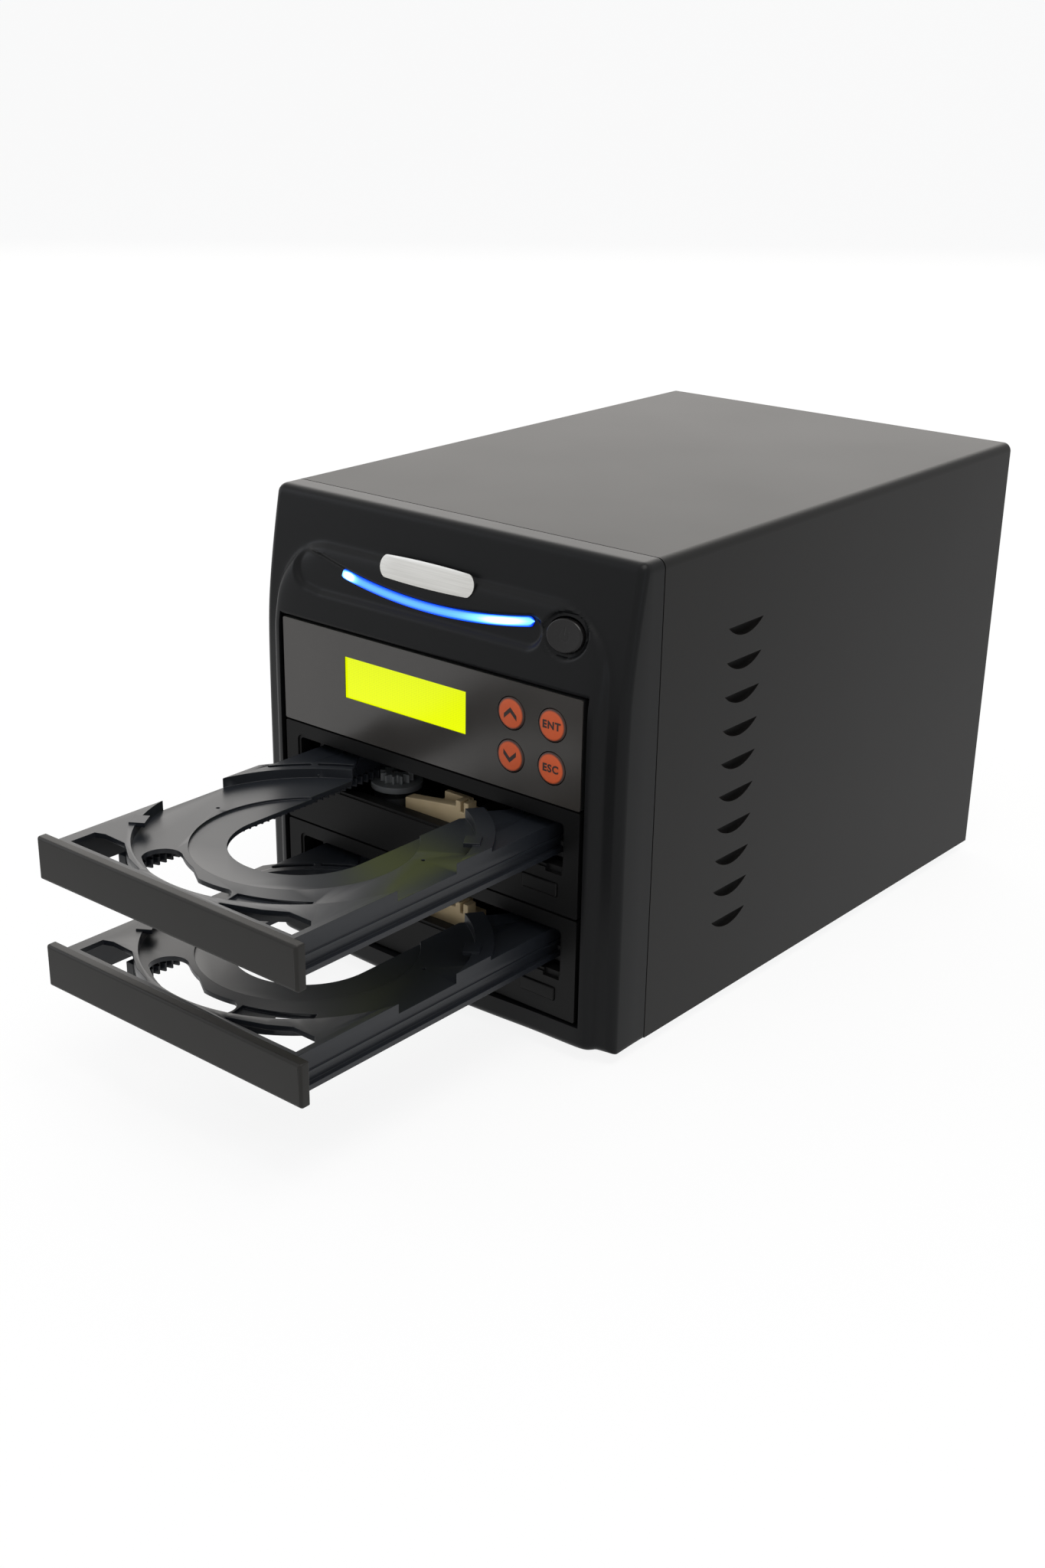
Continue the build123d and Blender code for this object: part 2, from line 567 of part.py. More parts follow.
# Power switch, clipped into the front frame behind the button
SWITCH_Y0 = FACE_Y + 17 + POWER_TRAVEL
with BuildPart() as power_switch:
    block(POWER_X - 6.5, POWER_X + 6.5, SWITCH_Y0, FRAME_Y, SWITCH_Z - 6.5, SWITCH_Z + 6.5)
    block(POWER_X - 11, POWER_X + 11, FRAME_Y - 1.5, FRAME_Y, SWITCH_Z - 11, SWITCH_Z + 11)
    block(POWER_X - 6.5, POWER_X + 6.5, FRAME_Y, FRAME_Y + 8, SWITCH_Z - 6.5, SWITCH_Z + 6.5)
    for x in (-4, 4):
        block(POWER_X + x - 1, POWER_X + x + 1, FRAME_Y + 8, FRAME_Y + 13, SWITCH_Z - 0.4, SWITCH_Z + 0.4)
save(power_switch.part, "power_switch")

# ==================================================================== control panel
PANEL_MID = PANEL_Z + FACEPLATE_H / 2
LCD_Z = PANEL_TOP - LCD_DROP
KEY_Z = PANEL_TOP - KEY_DROP
KEYS = {
    "key_up": (KEY_X - KEY_PITCH_X / 2, KEY_Z + KEY_PITCH_Z / 2),
    "key_down": (KEY_X - KEY_PITCH_X / 2, KEY_Z - KEY_PITCH_Z / 2),
    "key_enter": (KEY_X + KEY_PITCH_X / 2, KEY_Z + KEY_PITCH_Z / 2),
    "key_escape": (KEY_X + KEY_PITCH_X / 2, KEY_Z - KEY_PITCH_Z / 2),
}
PLATE_Y = FACE_Y + OVERLAY_T            # front of the moulded plate, under the film
PLATE_BACK = PLATE_Y + FACEPLATE_T
ARM_L = 96.0
with BuildPart() as panel_plate:
    with BuildSketch(front(PLATE_BACK)):
        with Locations((0, PANEL_MID)):
            RectangleRounded(FACEPLATE_W, FACEPLATE_H, 0.8)
        with Locations((LCD_X, LCD_Z)):
            Rectangle(LCD_W + 2, LCD_H + 2, mode=Mode.SUBTRACT)
        with Locations(*KEYS.values()):
            Circle(KEY_D / 2 + FIT, mode=Mode.SUBTRACT)
    extrude(amount=FACEPLATE_T)
    # Side arms that screw to the cage, joined by a shelf
    for sx in (-1, 1):
        a, b = sorted((sx * DRIVE_W / 2, sx * (DRIVE_W / 2 - 2)))
        block(a, b, PLATE_BACK, PLATE_BACK + ARM_L, PANEL_Z + 3, PANEL_Z + 22)
    block(-DRIVE_W / 2, DRIVE_W / 2, PLATE_BACK + 16, PLATE_BACK + ARM_L, PANEL_Z + 1.2, PANEL_Z + 3)
    for x in (-60, 60):
        for y in (24, ARM_L - 8):
            post(x, PLATE_BACK + y, PANEL_Z + 3, PANEL_Z + 8, 3)
save(panel_plate.part, "panel_plate")

# Printed film over the plate, with the keys' holes and the display's window
with BuildPart() as panel_film:
    with BuildSketch(front(PLATE_Y)):
        with Locations((0, PANEL_MID)):
            RectangleRounded(FACEPLATE_W, FACEPLATE_H, 0.8)
        with Locations((LCD_X, LCD_Z)):
            Rectangle(LCD_W, LCD_H, mode=Mode.SUBTRACT)
        with Locations(*KEYS.values()):
            Circle(KEY_D / 2 + FIT, mode=Mode.SUBTRACT)
    extrude(amount=OVERLAY_T)
save(panel_film.part, "panel_film")

# Keys: a domed cap, and a flange that keeps it behind the plate
KEY_BOARD_Y = PLATE_BACK + 5.0
for name, (kx, kz) in KEYS.items():
    with BuildPart() as key:
        with BuildSketch(front(FACE_Y + FACEPLATE_T + OVERLAY_T + 0.4)):
            with Locations((kx, kz)):
                Circle(KEY_D / 2)
        extrude(amount=FACEPLATE_T + OVERLAY_T + 0.4 + KEY_PROUD)
        fillet(key.faces().sort_by(Axis.Y)[0].edges(), KEY_PROUD * 0.8)
        bar_y(kx, kz, PLATE_BACK + 0.4, PLATE_BACK + 1.4, KEY_D / 2 + 1.2)
        bar_y(kx, kz, PLATE_BACK + 1.4, KEY_BOARD_Y - 1.7 - KEY_TRAVEL, 2)
    save(key.part, name)

# Front board behind the keys, with one push switch behind each
with BuildPart() as key_board:
    block(KEY_X - 20, KEY_X + 18, KEY_BOARD_Y, KEY_BOARD_Y + 1.6, PANEL_Z + 4, PANEL_TOP - 4)
    for kx, kz in KEYS.values():
        block(kx - 3, kx + 3, KEY_BOARD_Y - 1.5, KEY_BOARD_Y, kz - 3, kz + 3)
    for kx, kz in ((KEY_X - 18, KEY_Z), (KEY_X + 16.4, KEY_Z)):
        bar_y(kx, kz, PLATE_BACK, KEY_BOARD_Y, 1.3)
save(key_board.part, "key_board")

# Display module: board and steel frame, with the lit glass in it
LCD_FRAME_Y = PLATE_BACK
with BuildPart() as display_module:
    block(LCD_X - 40, LCD_X + 40, LCD_FRAME_Y + 4, LCD_FRAME_Y + 5.6, PANEL_Z + 3, PANEL_TOP - 1)
    block(LCD_X - 35.5, LCD_X + 35.5, LCD_FRAME_Y, LCD_FRAME_Y + 4, LCD_Z - 12, LCD_Z + 12)
    block(LCD_X - LCD_W / 2 - 1.5, LCD_X + LCD_W / 2 + 1.5, LCD_FRAME_Y - 1, LCD_FRAME_Y + 3,
          LCD_Z - LCD_H / 2 - 1.5, LCD_Z + LCD_H / 2 + 1.5, Mode.SUBTRACT)
save(display_module.part, "display_module")

with BuildPart() as display_glass:
    block(LCD_X - LCD_W / 2 - 1.3, LCD_X + LCD_W / 2 + 1.3, LCD_FRAME_Y, LCD_FRAME_Y + 3,
          LCD_Z - LCD_H / 2 - 1.3, LCD_Z + LCD_H / 2 + 1.3)
    block(LCD_X - LCD_W / 2 - 0.8, LCD_X + LCD_W / 2 + 0.8, PLATE_Y + 0.4, LCD_FRAME_Y,
          LCD_Z - LCD_H / 2 - 0.8, LCD_Z + LCD_H / 2 + 0.8)
save(display_glass.part, "display_glass")

# Controller board on the panel's shelf, with its chips and its rear sockets
CTRL_Z = PANEL_Z + 8
CTRL_Y0 = PLATE_BACK + 18
CTRL_Y1 = PLATE_BACK + ARM_L - 2
with BuildPart() as controller_board:
    block(-66, 66, CTRL_Y0, CTRL_Y1, CTRL_Z, CTRL_Z + 1.6)
    block(-14, 14, CTRL_Y0 + 26, CTRL_Y0 + 54, CTRL_Z + 1.6, CTRL_Z + 3.6)
    block(24, 42, CTRL_Y0 + 20, CTRL_Y0 + 30, CTRL_Z + 1.6, CTRL_Z + 2.8)
    block(24, 42, CTRL_Y0 + 36, CTRL_Y0 + 46, CTRL_Z + 1.6, CTRL_Z + 2.8)
    for x in (-44, -26):
        block(x - 7, x + 7, CTRL_Y1 - 10, CTRL_Y1, CTRL_Z + 1.6, CTRL_Z + 8)
    block(36, 52, CTRL_Y1 - 10, CTRL_Y1, CTRL_Z + 1.6, CTRL_Z + 10)
    for x, y in ((-50, 20), (-40, 20), (-50, 32)):
        post(x, CTRL_Y0 + y, CTRL_Z + 1.6, CTRL_Z + 12, 4)
save(controller_board.part, "controller_board")

# ===================================================================== optical drives
# Everything here is drawn for the upper drive and written again one bay lower.
PLATE_TOP = UPPER_Z + FACEPLATE_H
OPEN_Z1 = PLATE_TOP - OPEN_DROP
OPEN_Z0 = OPEN_Z1 - OPEN_H
EJECT_Z = PLATE_TOP - EJECT_DROP
HOUSE_Y0 = FACE_Y + FACEPLATE_T
HOUSE_Y1 = FACE_Y + DRIVE_D
HOUSE_Z1 = HOUSE_Z0 + DRIVE_H
IN_Z0 = HOUSE_Z0 + DRIVE_WALL           # inner floor of the housing
IN_Z1 = HOUSE_Z1 - DRIVE_WALL
IN_X = DRIVE_W / 2 - DRIVE_WALL

# Tray heights
TRAY_Z0 = OPEN_Z0 + (OPEN_H - TRAY_FRONT_H) / 2
TRAY_Z1 = TRAY_Z0 + TRAY_FRONT_H
RIM_Z = TRAY_Z1 - RIM_DROP
DISH_Z = RIM_Z - DISC_DEPTH
STEP_Z = DISH_Z - SMALL_DEPTH
UNDER_Z = STEP_Z - FLOOR_T              # lowest point of the tray's floor
FLANGE_Z0 = TRAY_Z0 + 2.2
FLANGE_Z1 = FLANGE_Z0 + 2.0
TRAY_Y0 = FACE_Y - TRAY_OUT             # front face of the tray, fully out
BODY_Y0 = TRAY_Y0 + TRAY_FRONT_T
BODY_Y1 = TRAY_Y0 + TRAY_L
DISC_AT = TRAY_Y0 + DISC_Y              # disc centre with the tray out
SPINDLE_Y = FACE_Y + DISC_Y             # disc centre with the tray in

with BuildPart() as housing:
    block(-DRIVE_W / 2, DRIVE_W / 2, HOUSE_Y0, HOUSE_Y1, HOUSE_Z0, HOUSE_Z1)
    block(-IN_X, IN_X, HOUSE_Y0 - 1, HOUSE_Y1 - DRIVE_WALL, IN_Z0, IN_Z1, Mode.SUBTRACT)
    block(-62, 62, HOUSE_Y1 - 2, HOUSE_Y1 + 1, IN_Z0 + 3, IN_Z0 + 15, Mode.SUBTRACT)
    with BuildSketch(Plane.XY.offset(HOUSE_Z0 - 1)):
        with Locations((0, (HOUSE_Y0 + HOUSE_Y1) / 2 + 20)):
            RectangleRounded(60, 60, 6)
    extrude(amount=DRIVE_WALL + 2, mode=Mode.SUBTRACT)
save_drive(housing.part, "drive_housing")

with BuildPart() as drive_plate:
    with BuildSketch(front(HOUSE_Y0)):
        with Locations((0, UPPER_Z + FACEPLATE_H / 2)):
            RectangleRounded(FACEPLATE_W, FACEPLATE_H, 0.8)
    extrude(amount=FACEPLATE_T)
    with BuildSketch(front(HOUSE_Y0)):
        with Locations((0, (OPEN_Z0 + OPEN_Z1) / 2)):
            RectangleRounded(OPEN_W + 3, OPEN_H + 3, 2.4)
    extrude(amount=-2.5)
    with BuildSketch(front(HOUSE_Y0 + 3)):
        with Locations((0, (OPEN_Z0 + OPEN_Z1) / 2)):
            RectangleRounded(OPEN_W, OPEN_H, 1.6)
    extrude(amount=FACEPLATE_T + 4, mode=Mode.SUBTRACT)
    with BuildSketch(front(FACE_Y)):
        with Locations((0, (OPEN_Z0 + OPEN_Z1) / 2)):
            RectangleRounded(OPEN_W + 2.4, OPEN_H + 2.4, 2.4)
    extrude(amount=-0.6, mode=Mode.SUBTRACT)
    # Eject button's hole and finger notch under the opening's right end
    with BuildSketch(front(HOUSE_Y0 + 1)):
        with Locations((EJECT_X, EJECT_Z)):
            RectangleRounded(EJECT_W, EJECT_H, 0.8)
    extrude(amount=FACEPLATE_T + 2, mode=Mode.SUBTRACT)
    block(OPEN_W / 2 - 7.5, OPEN_W / 2, FACE_Y - 1, FACE_Y + 1.5, OPEN_Z0 - 2.6, OPEN_Z0 + 1, Mode.SUBTRACT)
save_drive(drive_plate.part, "drive_plate")

with BuildPart() as eject_button:
    with BuildSketch(front(HOUSE_Y0 + 0.4)):
        with Locations((EJECT_X, EJECT_Z)):
            RectangleRounded(EJECT_W - 2 * FIT, EJECT_H - 2 * FIT, 0.6)
    extrude(amount=FACEPLATE_T + 0.4 + EJECT_PROUD)
    fillet(eject_button.faces().sort_by(Axis.Y)[0].edges(), 0.5)
    block(EJECT_X - EJECT_W / 2 - 1.2, EJECT_X + EJECT_W / 2 + 1.2, HOUSE_Y0 + 0.4, HOUSE_Y0 + 1.4,
          EJECT_Z - EJECT_H / 2 - 1, EJECT_Z + EJECT_H / 2 + 1)
save_drive(eject_button.part, "eject_button")

# Loader frame: floor, two walls with the tray's rails, the gear's and sled's seats and the bridge.
RAIL_X = TRAY_FLANGE_W / 2 + 0.4
PIVOT_Y = SPINDLE_Y + 82.0
PIVOT_Z = IN_Z0 + 17.0
SHAFT_X = GEAR_X
SHAFT_Y = FACE_Y + GEAR_Y
BRIDGE_Z0 = RIM_Z + 2.2
BRIDGE_Z1 = BRIDGE_Z0 + 1.2
RIB_Y = FACE_Y + 14.0
with BuildPart() as loader_frame:
    block(-IN_X, IN_X, HOUSE_Y0 + 2, HOUSE_Y1 - DRIVE_WALL, IN_Z0, IN_Z0 + 2)
    for sx in (-1, 1):
        a, b = sorted((sx * RAIL_X, sx * (RAIL_X + 2)))
        block(a, b, HOUSE_Y0 + 5, HOUSE_Y1 - DRIVE_WALL, IN_Z0 + 2, BRIDGE_Z1)
        a, b = sorted((sx * RAIL_X, sx * (RAIL_X - 4)))
        block(a, b, HOUSE_Y0 + 5, HOUSE_Y1 - DRIVE_WALL, FLANGE_Z0 - FIT - 2, FLANGE_Z0 - FIT)
        a, b = sorted((sx * RAIL_X, sx * (TRAY_BODY_W / 2 + 0.6)))
        block(a, b, HOUSE_Y0 + 5, HOUSE_Y1 - DRIVE_WALL, FLANGE_Z1 + FIT, FLANGE_Z1 + FIT + 1.6)
        # Bearing post of the sled's pivot
        a, b = sorted((sx * (SLED_W / 2 + 0.4), sx * (SLED_W / 2 + 4.4)))
        block(a, b, PIVOT_Y - 5, PIVOT_Y + 5, IN_Z0 + 2, PIVOT_Z + 4)
        with Locations(((a + b) / 2, PIVOT_Y, PIVOT_Z)):
            Cylinder(2.06, 6, rotation=(0, 90, 0), mode=Mode.SUBTRACT)
    block(-RAIL_X, RAIL_X, SPINDLE_Y - 17, SPINDLE_Y + 17, BRIDGE_Z0, BRIDGE_Z1)
    post(0, SPINDLE_Y, BRIDGE_Z0 - 1, BRIDGE_Z1 + 1, 8.5, Mode.SUBTRACT)
    # Rib and shelf that guide the cam slider
    block(-21, 34, RIB_Y, RIB_Y + 1.6, IN_Z0 + 2, IN_Z0 + 15)
    block(-21, 34, HOUSE_Y0 + 3.4, RIB_Y, IN_Z0 + 4.6, IN_Z0 + 6.6)
    # Rear connectors
    block(-50, -16, HOUSE_Y1 - 9, HOUSE_Y1 - 0.9, IN_Z0 + 2, IN_Z0 + 12)
    block(20, 54, HOUSE_Y1 - 9, HOUSE_Y1 - 0.9, IN_Z0 + 2, IN_Z0 + 12)
    # Window in the floor under the sled
    block(-SLED_W / 2 + 4, SLED_W / 2 - 4, SPINDLE_Y - 16, PIVOT_Y - 12, IN_Z0 - 1, IN_Z0 + 3, Mode.SUBTRACT)
save_drive(loader_frame.part, "loader_frame")

# Disc tray


def on(r, a):
    """A point of the dish's plane, by radius and angle from the disc centre."""
    return (r * cos(radians(a)), DISC_AT + r * sin(radians(a)))


rim_r = DISC_R + 4.2
rim_slots = [ThreePointArc(on(rim_r, a0), on(rim_r, (a0 + a1) / 2), on(rim_r, a1)) for a0, a1 in ((119, 130), (134, 147))]
with BuildPart() as disc_tray:
    hw = TRAY_BODY_W / 2
    block(-hw, hw, BODY_Y0, BODY_Y1, RIM_Z - 2.0, RIM_Z)
    # Behind the dish the arms lie lower than the rim
    with BuildSketch(Plane.XY.offset(RIM_Z + 1)):
        with Locations((0, DISC_AT + DISC_R / 2 + 80)):
            Rectangle(2 * hw + 2, 160 + DISC_R / 2)
        with Locations((0, DISC_AT)):
            Circle(DISC_R + 7, mode=Mode.SUBTRACT)
    extrude(amount=-1 - ARM_DROP, mode=Mode.SUBTRACT)
    block(-hw, hw, DISC_AT + 30, BODY_Y1, RIM_Z - ARM_DROP - FLOOR_T, RIM_Z - ARM_DROP)
    with BuildSketch(Plane.XY.offset(DISH_Z - FLOOR_T)) as dish_outline:
        with Locations((0, DISC_AT)):
            Circle(DISC_R + TRAY_WALL)
            Rectangle(2 * hw, 200, mode=Mode.INTERSECT)
    extrude(amount=RIM_Z - DISH_Z + FLOOR_T)
    post(0, DISC_AT, UNDER_Z, DISH_Z, SMALL_R + TRAY_WALL)
    # Side walls with their running flanges
    for sx in (-1, 1):
        a, b = sorted((sx * hw, sx * (hw - TRAY_WALL)))
        block(a, b, BODY_Y0, BODY_Y1, FLANGE_Z0, RIM_Z - ARM_DROP - 0.2)
        block(a, b, BODY_Y0, DISC_AT + 15, RIM_Z - 3.0, RIM_Z - 0.2)
        a, b = sorted((sx * (hw - 0.5), sx * TRAY_FLANGE_W / 2))
        block(a, b, BODY_Y0 + 3, BODY_Y1, FLANGE_Z0, FLANGE_Z1)
        a, b = sorted((sx * (hw - 0.5), sx * (hw + 0.6)))
        block(a, b, BODY_Y0, BODY_Y1 - 3, RIM_Z - 8.2, RIM_Z - 7.2)
    # The dish for large discs, the step for small ones and the central cut-out
    post(0, DISC_AT, DISH_Z, RIM_Z + 3, DISC_R, Mode.SUBTRACT)
    post(0, DISC_AT, STEP_Z, RIM_Z + 3, SMALL_R, Mode.SUBTRACT)
    with BuildSketch(Plane.XY.offset(UNDER_Z - 1)):
        with Locations((0, DISC_AT)):
            Circle(HUB_R)
        with BuildLine():
            reach = BODY_Y1 + 5
            Polyline((-HUB_R, DISC_AT), (-HUB_R, DISC_AT + 52), (-HUB_R - 12, DISC_AT + 68), (-HUB_R - 12, reach),
                     (HUB_R + 12, reach), (HUB_R + 12, DISC_AT + 68), (HUB_R, DISC_AT + 52), (HUB_R, DISC_AT),
                     (-HUB_R, DISC_AT))
        make_face()
    extrude(amount=20, mode=Mode.SUBTRACT)
    # Openings in front: a bean, a crescent slit and one by each front corner
    with BuildSketch(Plane.XY.offset(UNDER_Z - 1)) as bean:
        with BuildLine():
            bean_out, bean_in, tail_in = DISC_R - 3.2, SMALL_R + TRAY_WALL + 0.7, SMALL_R + 5.8
            ThreePointArc(on(bean_out, -124), on(bean_out, -101), on(bean_out, -78))
            ThreePointArc(on(bean_out, -78), on((bean_out + tail_in) / 2, -73.5), on(tail_in, -77))
            ThreePointArc(on(tail_in, -77), on(tail_in, -86), on(tail_in, -95))
            Line(on(tail_in, -95), on(bean_in, -106))
            ThreePointArc(on(bean_in, -106), on(bean_in, -114), on(bean_in, -122))
            ThreePointArc(on(bean_in, -122), on((bean_in + bean_out) / 2, -130), on(bean_out, -124))
        make_face()
    extrude(amount=20, mode=Mode.SUBTRACT)
    pocket_in, pocket_out = SMALL_R + 7.2, DISC_R - 2.4
    with BuildSketch(Plane.XY.offset(DISH_Z - 1.1)) as pocket:
        with BuildLine():
            ThreePointArc(on(pocket_out, -73), on(pocket_out, -58), on(pocket_out, -44))
            Line(on(pocket_out, -44), on(pocket_in + 3, -41))
            ThreePointArc(on(pocket_in + 3, -41), on(pocket_in + 1.2, -56), on(pocket_in, -72))
            Line(on(pocket_in, -72), on(pocket_out, -73))
        make_face()
    extrude(amount=1.2, mode=Mode.SUBTRACT)
    with BuildSketch(Plane.XY.offset(UNDER_Z - 1)) as crescent:
        with BuildLine():
            slit_in, slit_out = SMALL_R + 9.4, SMALL_R + 13.0
            ThreePointArc(on(slit_out, -57), on(slit_out, -51), on(slit_out, -44))
            Line(on(slit_out, -44), on(slit_in + 0.8, -44))
            ThreePointArc(on(slit_in + 0.8, -44), on(slit_in + 0.4, -51), on(slit_in, -57))
            Line(on(slit_in, -57), on(slit_out, -57))
        make_face()
    extrude(amount=20, mode=Mode.SUBTRACT)
    with BuildSketch(Plane.XY.offset(UNDER_Z - 1)) as corners:
        with BuildLine():
            v0 = BODY_Y0 + 2.4
            Polyline((-hw + 5, v0), (-hw + 5, v0 + 10.5), (-hw + 9, v0 + 12), (-hw + 20, v0 + 11.5), (-hw + 31, v0 + 4.2),
                     (-hw + 41, v0 + 0.6), (-hw + 41, v0), (-hw + 5, v0))
        make_face()
        with BuildLine():
            Polyline((hw - 2.6, v0), (hw - 2.6, v0 + 8.5), (hw - 5, v0 + 11), (hw - 15, v0 + 11), (hw - 23, v0 + 6.2),
                     (hw - 37, v0 + 0.8), (hw - 37, v0), (hw - 2.6, v0))
        make_face()
    extrude(amount=20, mode=Mode.SUBTRACT)
    # Pin holes and the round marks of the mould
    for r, a in ((SMALL_R + 4.5, 180), (SMALL_R + 4.5, 20)):
        px, py = on(r, a)
        post(px, py, UNDER_Z - 1, RIM_Z + 1, 0.7, Mode.SUBTRACT)
    for px, py in ((-46, BODY_Y1 - 26), (46, BODY_Y1 - 26)):
        post(px, py, RIM_Z - ARM_DROP - 0.7, RIM_Z, 2.3, Mode.SUBTRACT)
    # Two long slots along the rear of the rim, left
    with BuildSketch(Plane.XY.offset(RIM_Z + 0.5)):
        for slot_line in rim_slots:
            SlotArc(slot_line, 2.2)
    extrude(amount=-1.7, mode=Mode.SUBTRACT)
    # Swing-out tabs that hold a disc when the drive stands on edge
    for a in (-147, 33):
        tab_x, tab_y = on(DISC_R - 0.5, a)
        with BuildSketch(Plane(origin=(tab_x, tab_y, RIM_Z - 1.0), x_dir=(cos(radians(a)), sin(radians(a)), 0))):
            Rectangle(6, 7)
        extrude(amount=1.7)
    # Toothed rack under the left arm
    pitch_x = GEAR_X - GEAR_MODULE * GEAR_TEETH / 2
    tooth = pi * GEAR_MODULE
    block(pitch_x - 5, pitch_x - 1.25 * GEAR_MODULE, BODY_Y0 + 14, BODY_Y1 - 2, UNDER_Z - RACK_DROP, DISH_Z - FLOOR_T + 0.2)
    block(pitch_x - 5, pitch_x - 1.25 * GEAR_MODULE, DISC_AT + 46, BODY_Y1 - 2, UNDER_Z, RIM_Z - ARM_DROP - 1)
    first = int((BODY_Y0 + 16 - SHAFT_Y) / tooth)
    last = int((BODY_Y1 - 4 - SHAFT_Y) / tooth)
    with BuildSketch(Plane.XY.offset(UNDER_Z - RACK_DROP)):
        for k in range(first, last):
            ty = SHAFT_Y + (k + 0.5) * tooth
            with BuildLine():
                root, tip = pitch_x - 1.7 * GEAR_MODULE, pitch_x + 0.8 * GEAR_MODULE
                Polyline((root, ty - 1.22), (tip, ty - 0.34), (tip, ty + 0.34), (root, ty + 1.22), (root, ty - 1.22))
            make_face()
    extrude(amount=3.4)
save_drive(disc_tray.part, "disc_tray")
print("tray", len(disc_tray.solids()), disc_tray.part.bounding_box())

# Tray front, clipped to the tray
with BuildPart() as tray_front:
    with BuildSketch(front(BODY_Y0)):
        with Locations((0, (TRAY_Z0 + TRAY_Z1) / 2)):
            RectangleRounded(TRAY_FRONT_W, TRAY_FRONT_H, 0.6)
    extrude(amount=TRAY_FRONT_T)
    fillet(tray_front.edges().filter_by(Axis.Z).filter_by_position(Axis.Y, TRAY_Y0 - 0.1, TRAY_Y0 + 0.1), 1.2)
save_drive(tray_front.part, "tray_front")

# Loading motor, upright under its gear
GEAR_Z0 = UNDER_Z - RACK_DROP - 3.0
with BuildPart() as loading_motor:
    post(SHAFT_X, SHAFT_Y, IN_Z0 + 2, IN_Z0 + 15, 9)
    post(SHAFT_X, SHAFT_Y, IN_Z0 + 15, GEAR_Z0 - 0.2, 3)
    post(SHAFT_X, SHAFT_Y, GEAR_Z0 - 0.2, GEAR_Z0 + 6.2, 1.5)
save_drive(loading_motor.part, "loading_motor")

# Gear: a broad grey wheel with the rack's pinion on top
with BuildPart() as tray_gear:
    post(SHAFT_X, SHAFT_Y, GEAR_Z0, GEAR_Z0 + 2.6, PULLEY_R)
    with BuildSketch(Plane((SHAFT_X, SHAFT_Y, GEAR_Z0 + 2.6))):
        Circle(GEAR_MODULE * (GEAR_TEETH / 2 - 1.25))
        for i in range(GEAR_TEETH):
            with Locations(Location((0, 0, 0), (0, 0, 360 * i / GEAR_TEETH))):
                r_root = GEAR_MODULE * (GEAR_TEETH / 2 - 1.4)
                r_tip = GEAR_MODULE * (GEAR_TEETH / 2 + 0.8)
                r_mid = GEAR_MODULE * GEAR_TEETH / 2
                Polygon((r_root, -0.85), (r_mid, -0.62), (r_tip, -0.28), (r_tip, 0.28), (r_mid, 0.62), (r_root, 0.85),
                        align=None)
    extrude(amount=3.4)
    post(SHAFT_X, SHAFT_Y, GEAR_Z0 - 1, GEAR_Z0 + 7, 1.56, Mode.SUBTRACT)
save_drive(tray_gear.part, "tray_gear")
print("gear", len(tray_gear.solids()), tray_gear.part.bounding_box())

# Cam slider: runs across the front of the frame and lifts the sled
CAM_Z = IN_Z0 + 6.9
with BuildPart() as cam_slider:
    with BuildSketch(front(RIB_Y - 0.3)):
        with BuildLine():
            Polyline((-18, CAM_Z), (-18, CAM_Z + 12.4), (8, CAM_Z + 15.8), (8, CAM_Z + 18.2), (10.5, CAM_Z + 18.2),
                     (10.5, CAM_Z + 14), (12, CAM_Z + 14), (12, CAM_Z + 18.2), (14.5, CAM_Z + 18.2), (14.5, CAM_Z),
                     (-18, CAM_Z))
        make_face()
    extrude(amount=5.0)
    block(-6, 14.5, RIB_Y - 0.3, RIB_Y + 6, CAM_Z + 9.5, CAM_Z + 12.5)
    block(-4, 9, RIB_Y + 1.9, RIB_Y + 4.4, CAM_Z + 12, CAM_Z + 16.6)
save_drive(cam_slider.part, "cam_slider")

# Sled with its pivot pins and the pickup's two rods, drawn level and then let down
tilt = Axis((0, PIVOT_Y, PIVOT_Z), (1, 0, 0))
ROD_X = 17.0
ROD_Z = PIVOT_Z + 3.2
with BuildPart() as sled:
    with BuildSketch(Plane.XY.offset(PIVOT_Z - 1)):
        with Locations((0, PIVOT_Y - SLED_L / 2 + 2)):
            RectangleRounded(SLED_W, SLED_L, 4)
        with Locations((0, (SPINDLE_Y + 16 + PIVOT_Y - 8) / 2)):
            Rectangle(26, PIVOT_Y - 8 - SPINDLE_Y - 16, mode=Mode.SUBTRACT)
    extrude(amount=2)
    # Tongue towards the cam slider
    block(-4, 4, RIB_Y + 7, SPINDLE_Y - 12, PIVOT_Z - 1, PIVOT_Z + 1)
    with Locations((0, PIVOT_Y, PIVOT_Z)):
        Cylinder(2.0, SLED_W + 8, rotation=(0, 90, 0))
    for sx in (-1, 1):
        block(sx * ROD_X - 2.5, sx * ROD_X + 2.5, SPINDLE_Y + 14, SPINDLE_Y + 17, PIVOT_Z + 1, ROD_Z + 2)
        block(sx * ROD_X - 2.5, sx * ROD_X + 2.5, PIVOT_Y - 9, PIVOT_Y - 6, PIVOT_Z + 1, ROD_Z + 2)
        bar_y(sx * ROD_X, ROD_Z, SPINDLE_Y + 15, PIVOT_Y - 7, 1.2)
    post(0, SPINDLE_Y, PIVOT_Z + 1, DISH_Z - 4.4, 12)
    post(0, SPINDLE_Y, DISH_Z - 4.4, DISH_Z - 1, 1.5)
save_drive(sled.part.rotate(tilt, SLED_LIFT_DEG), "sled")

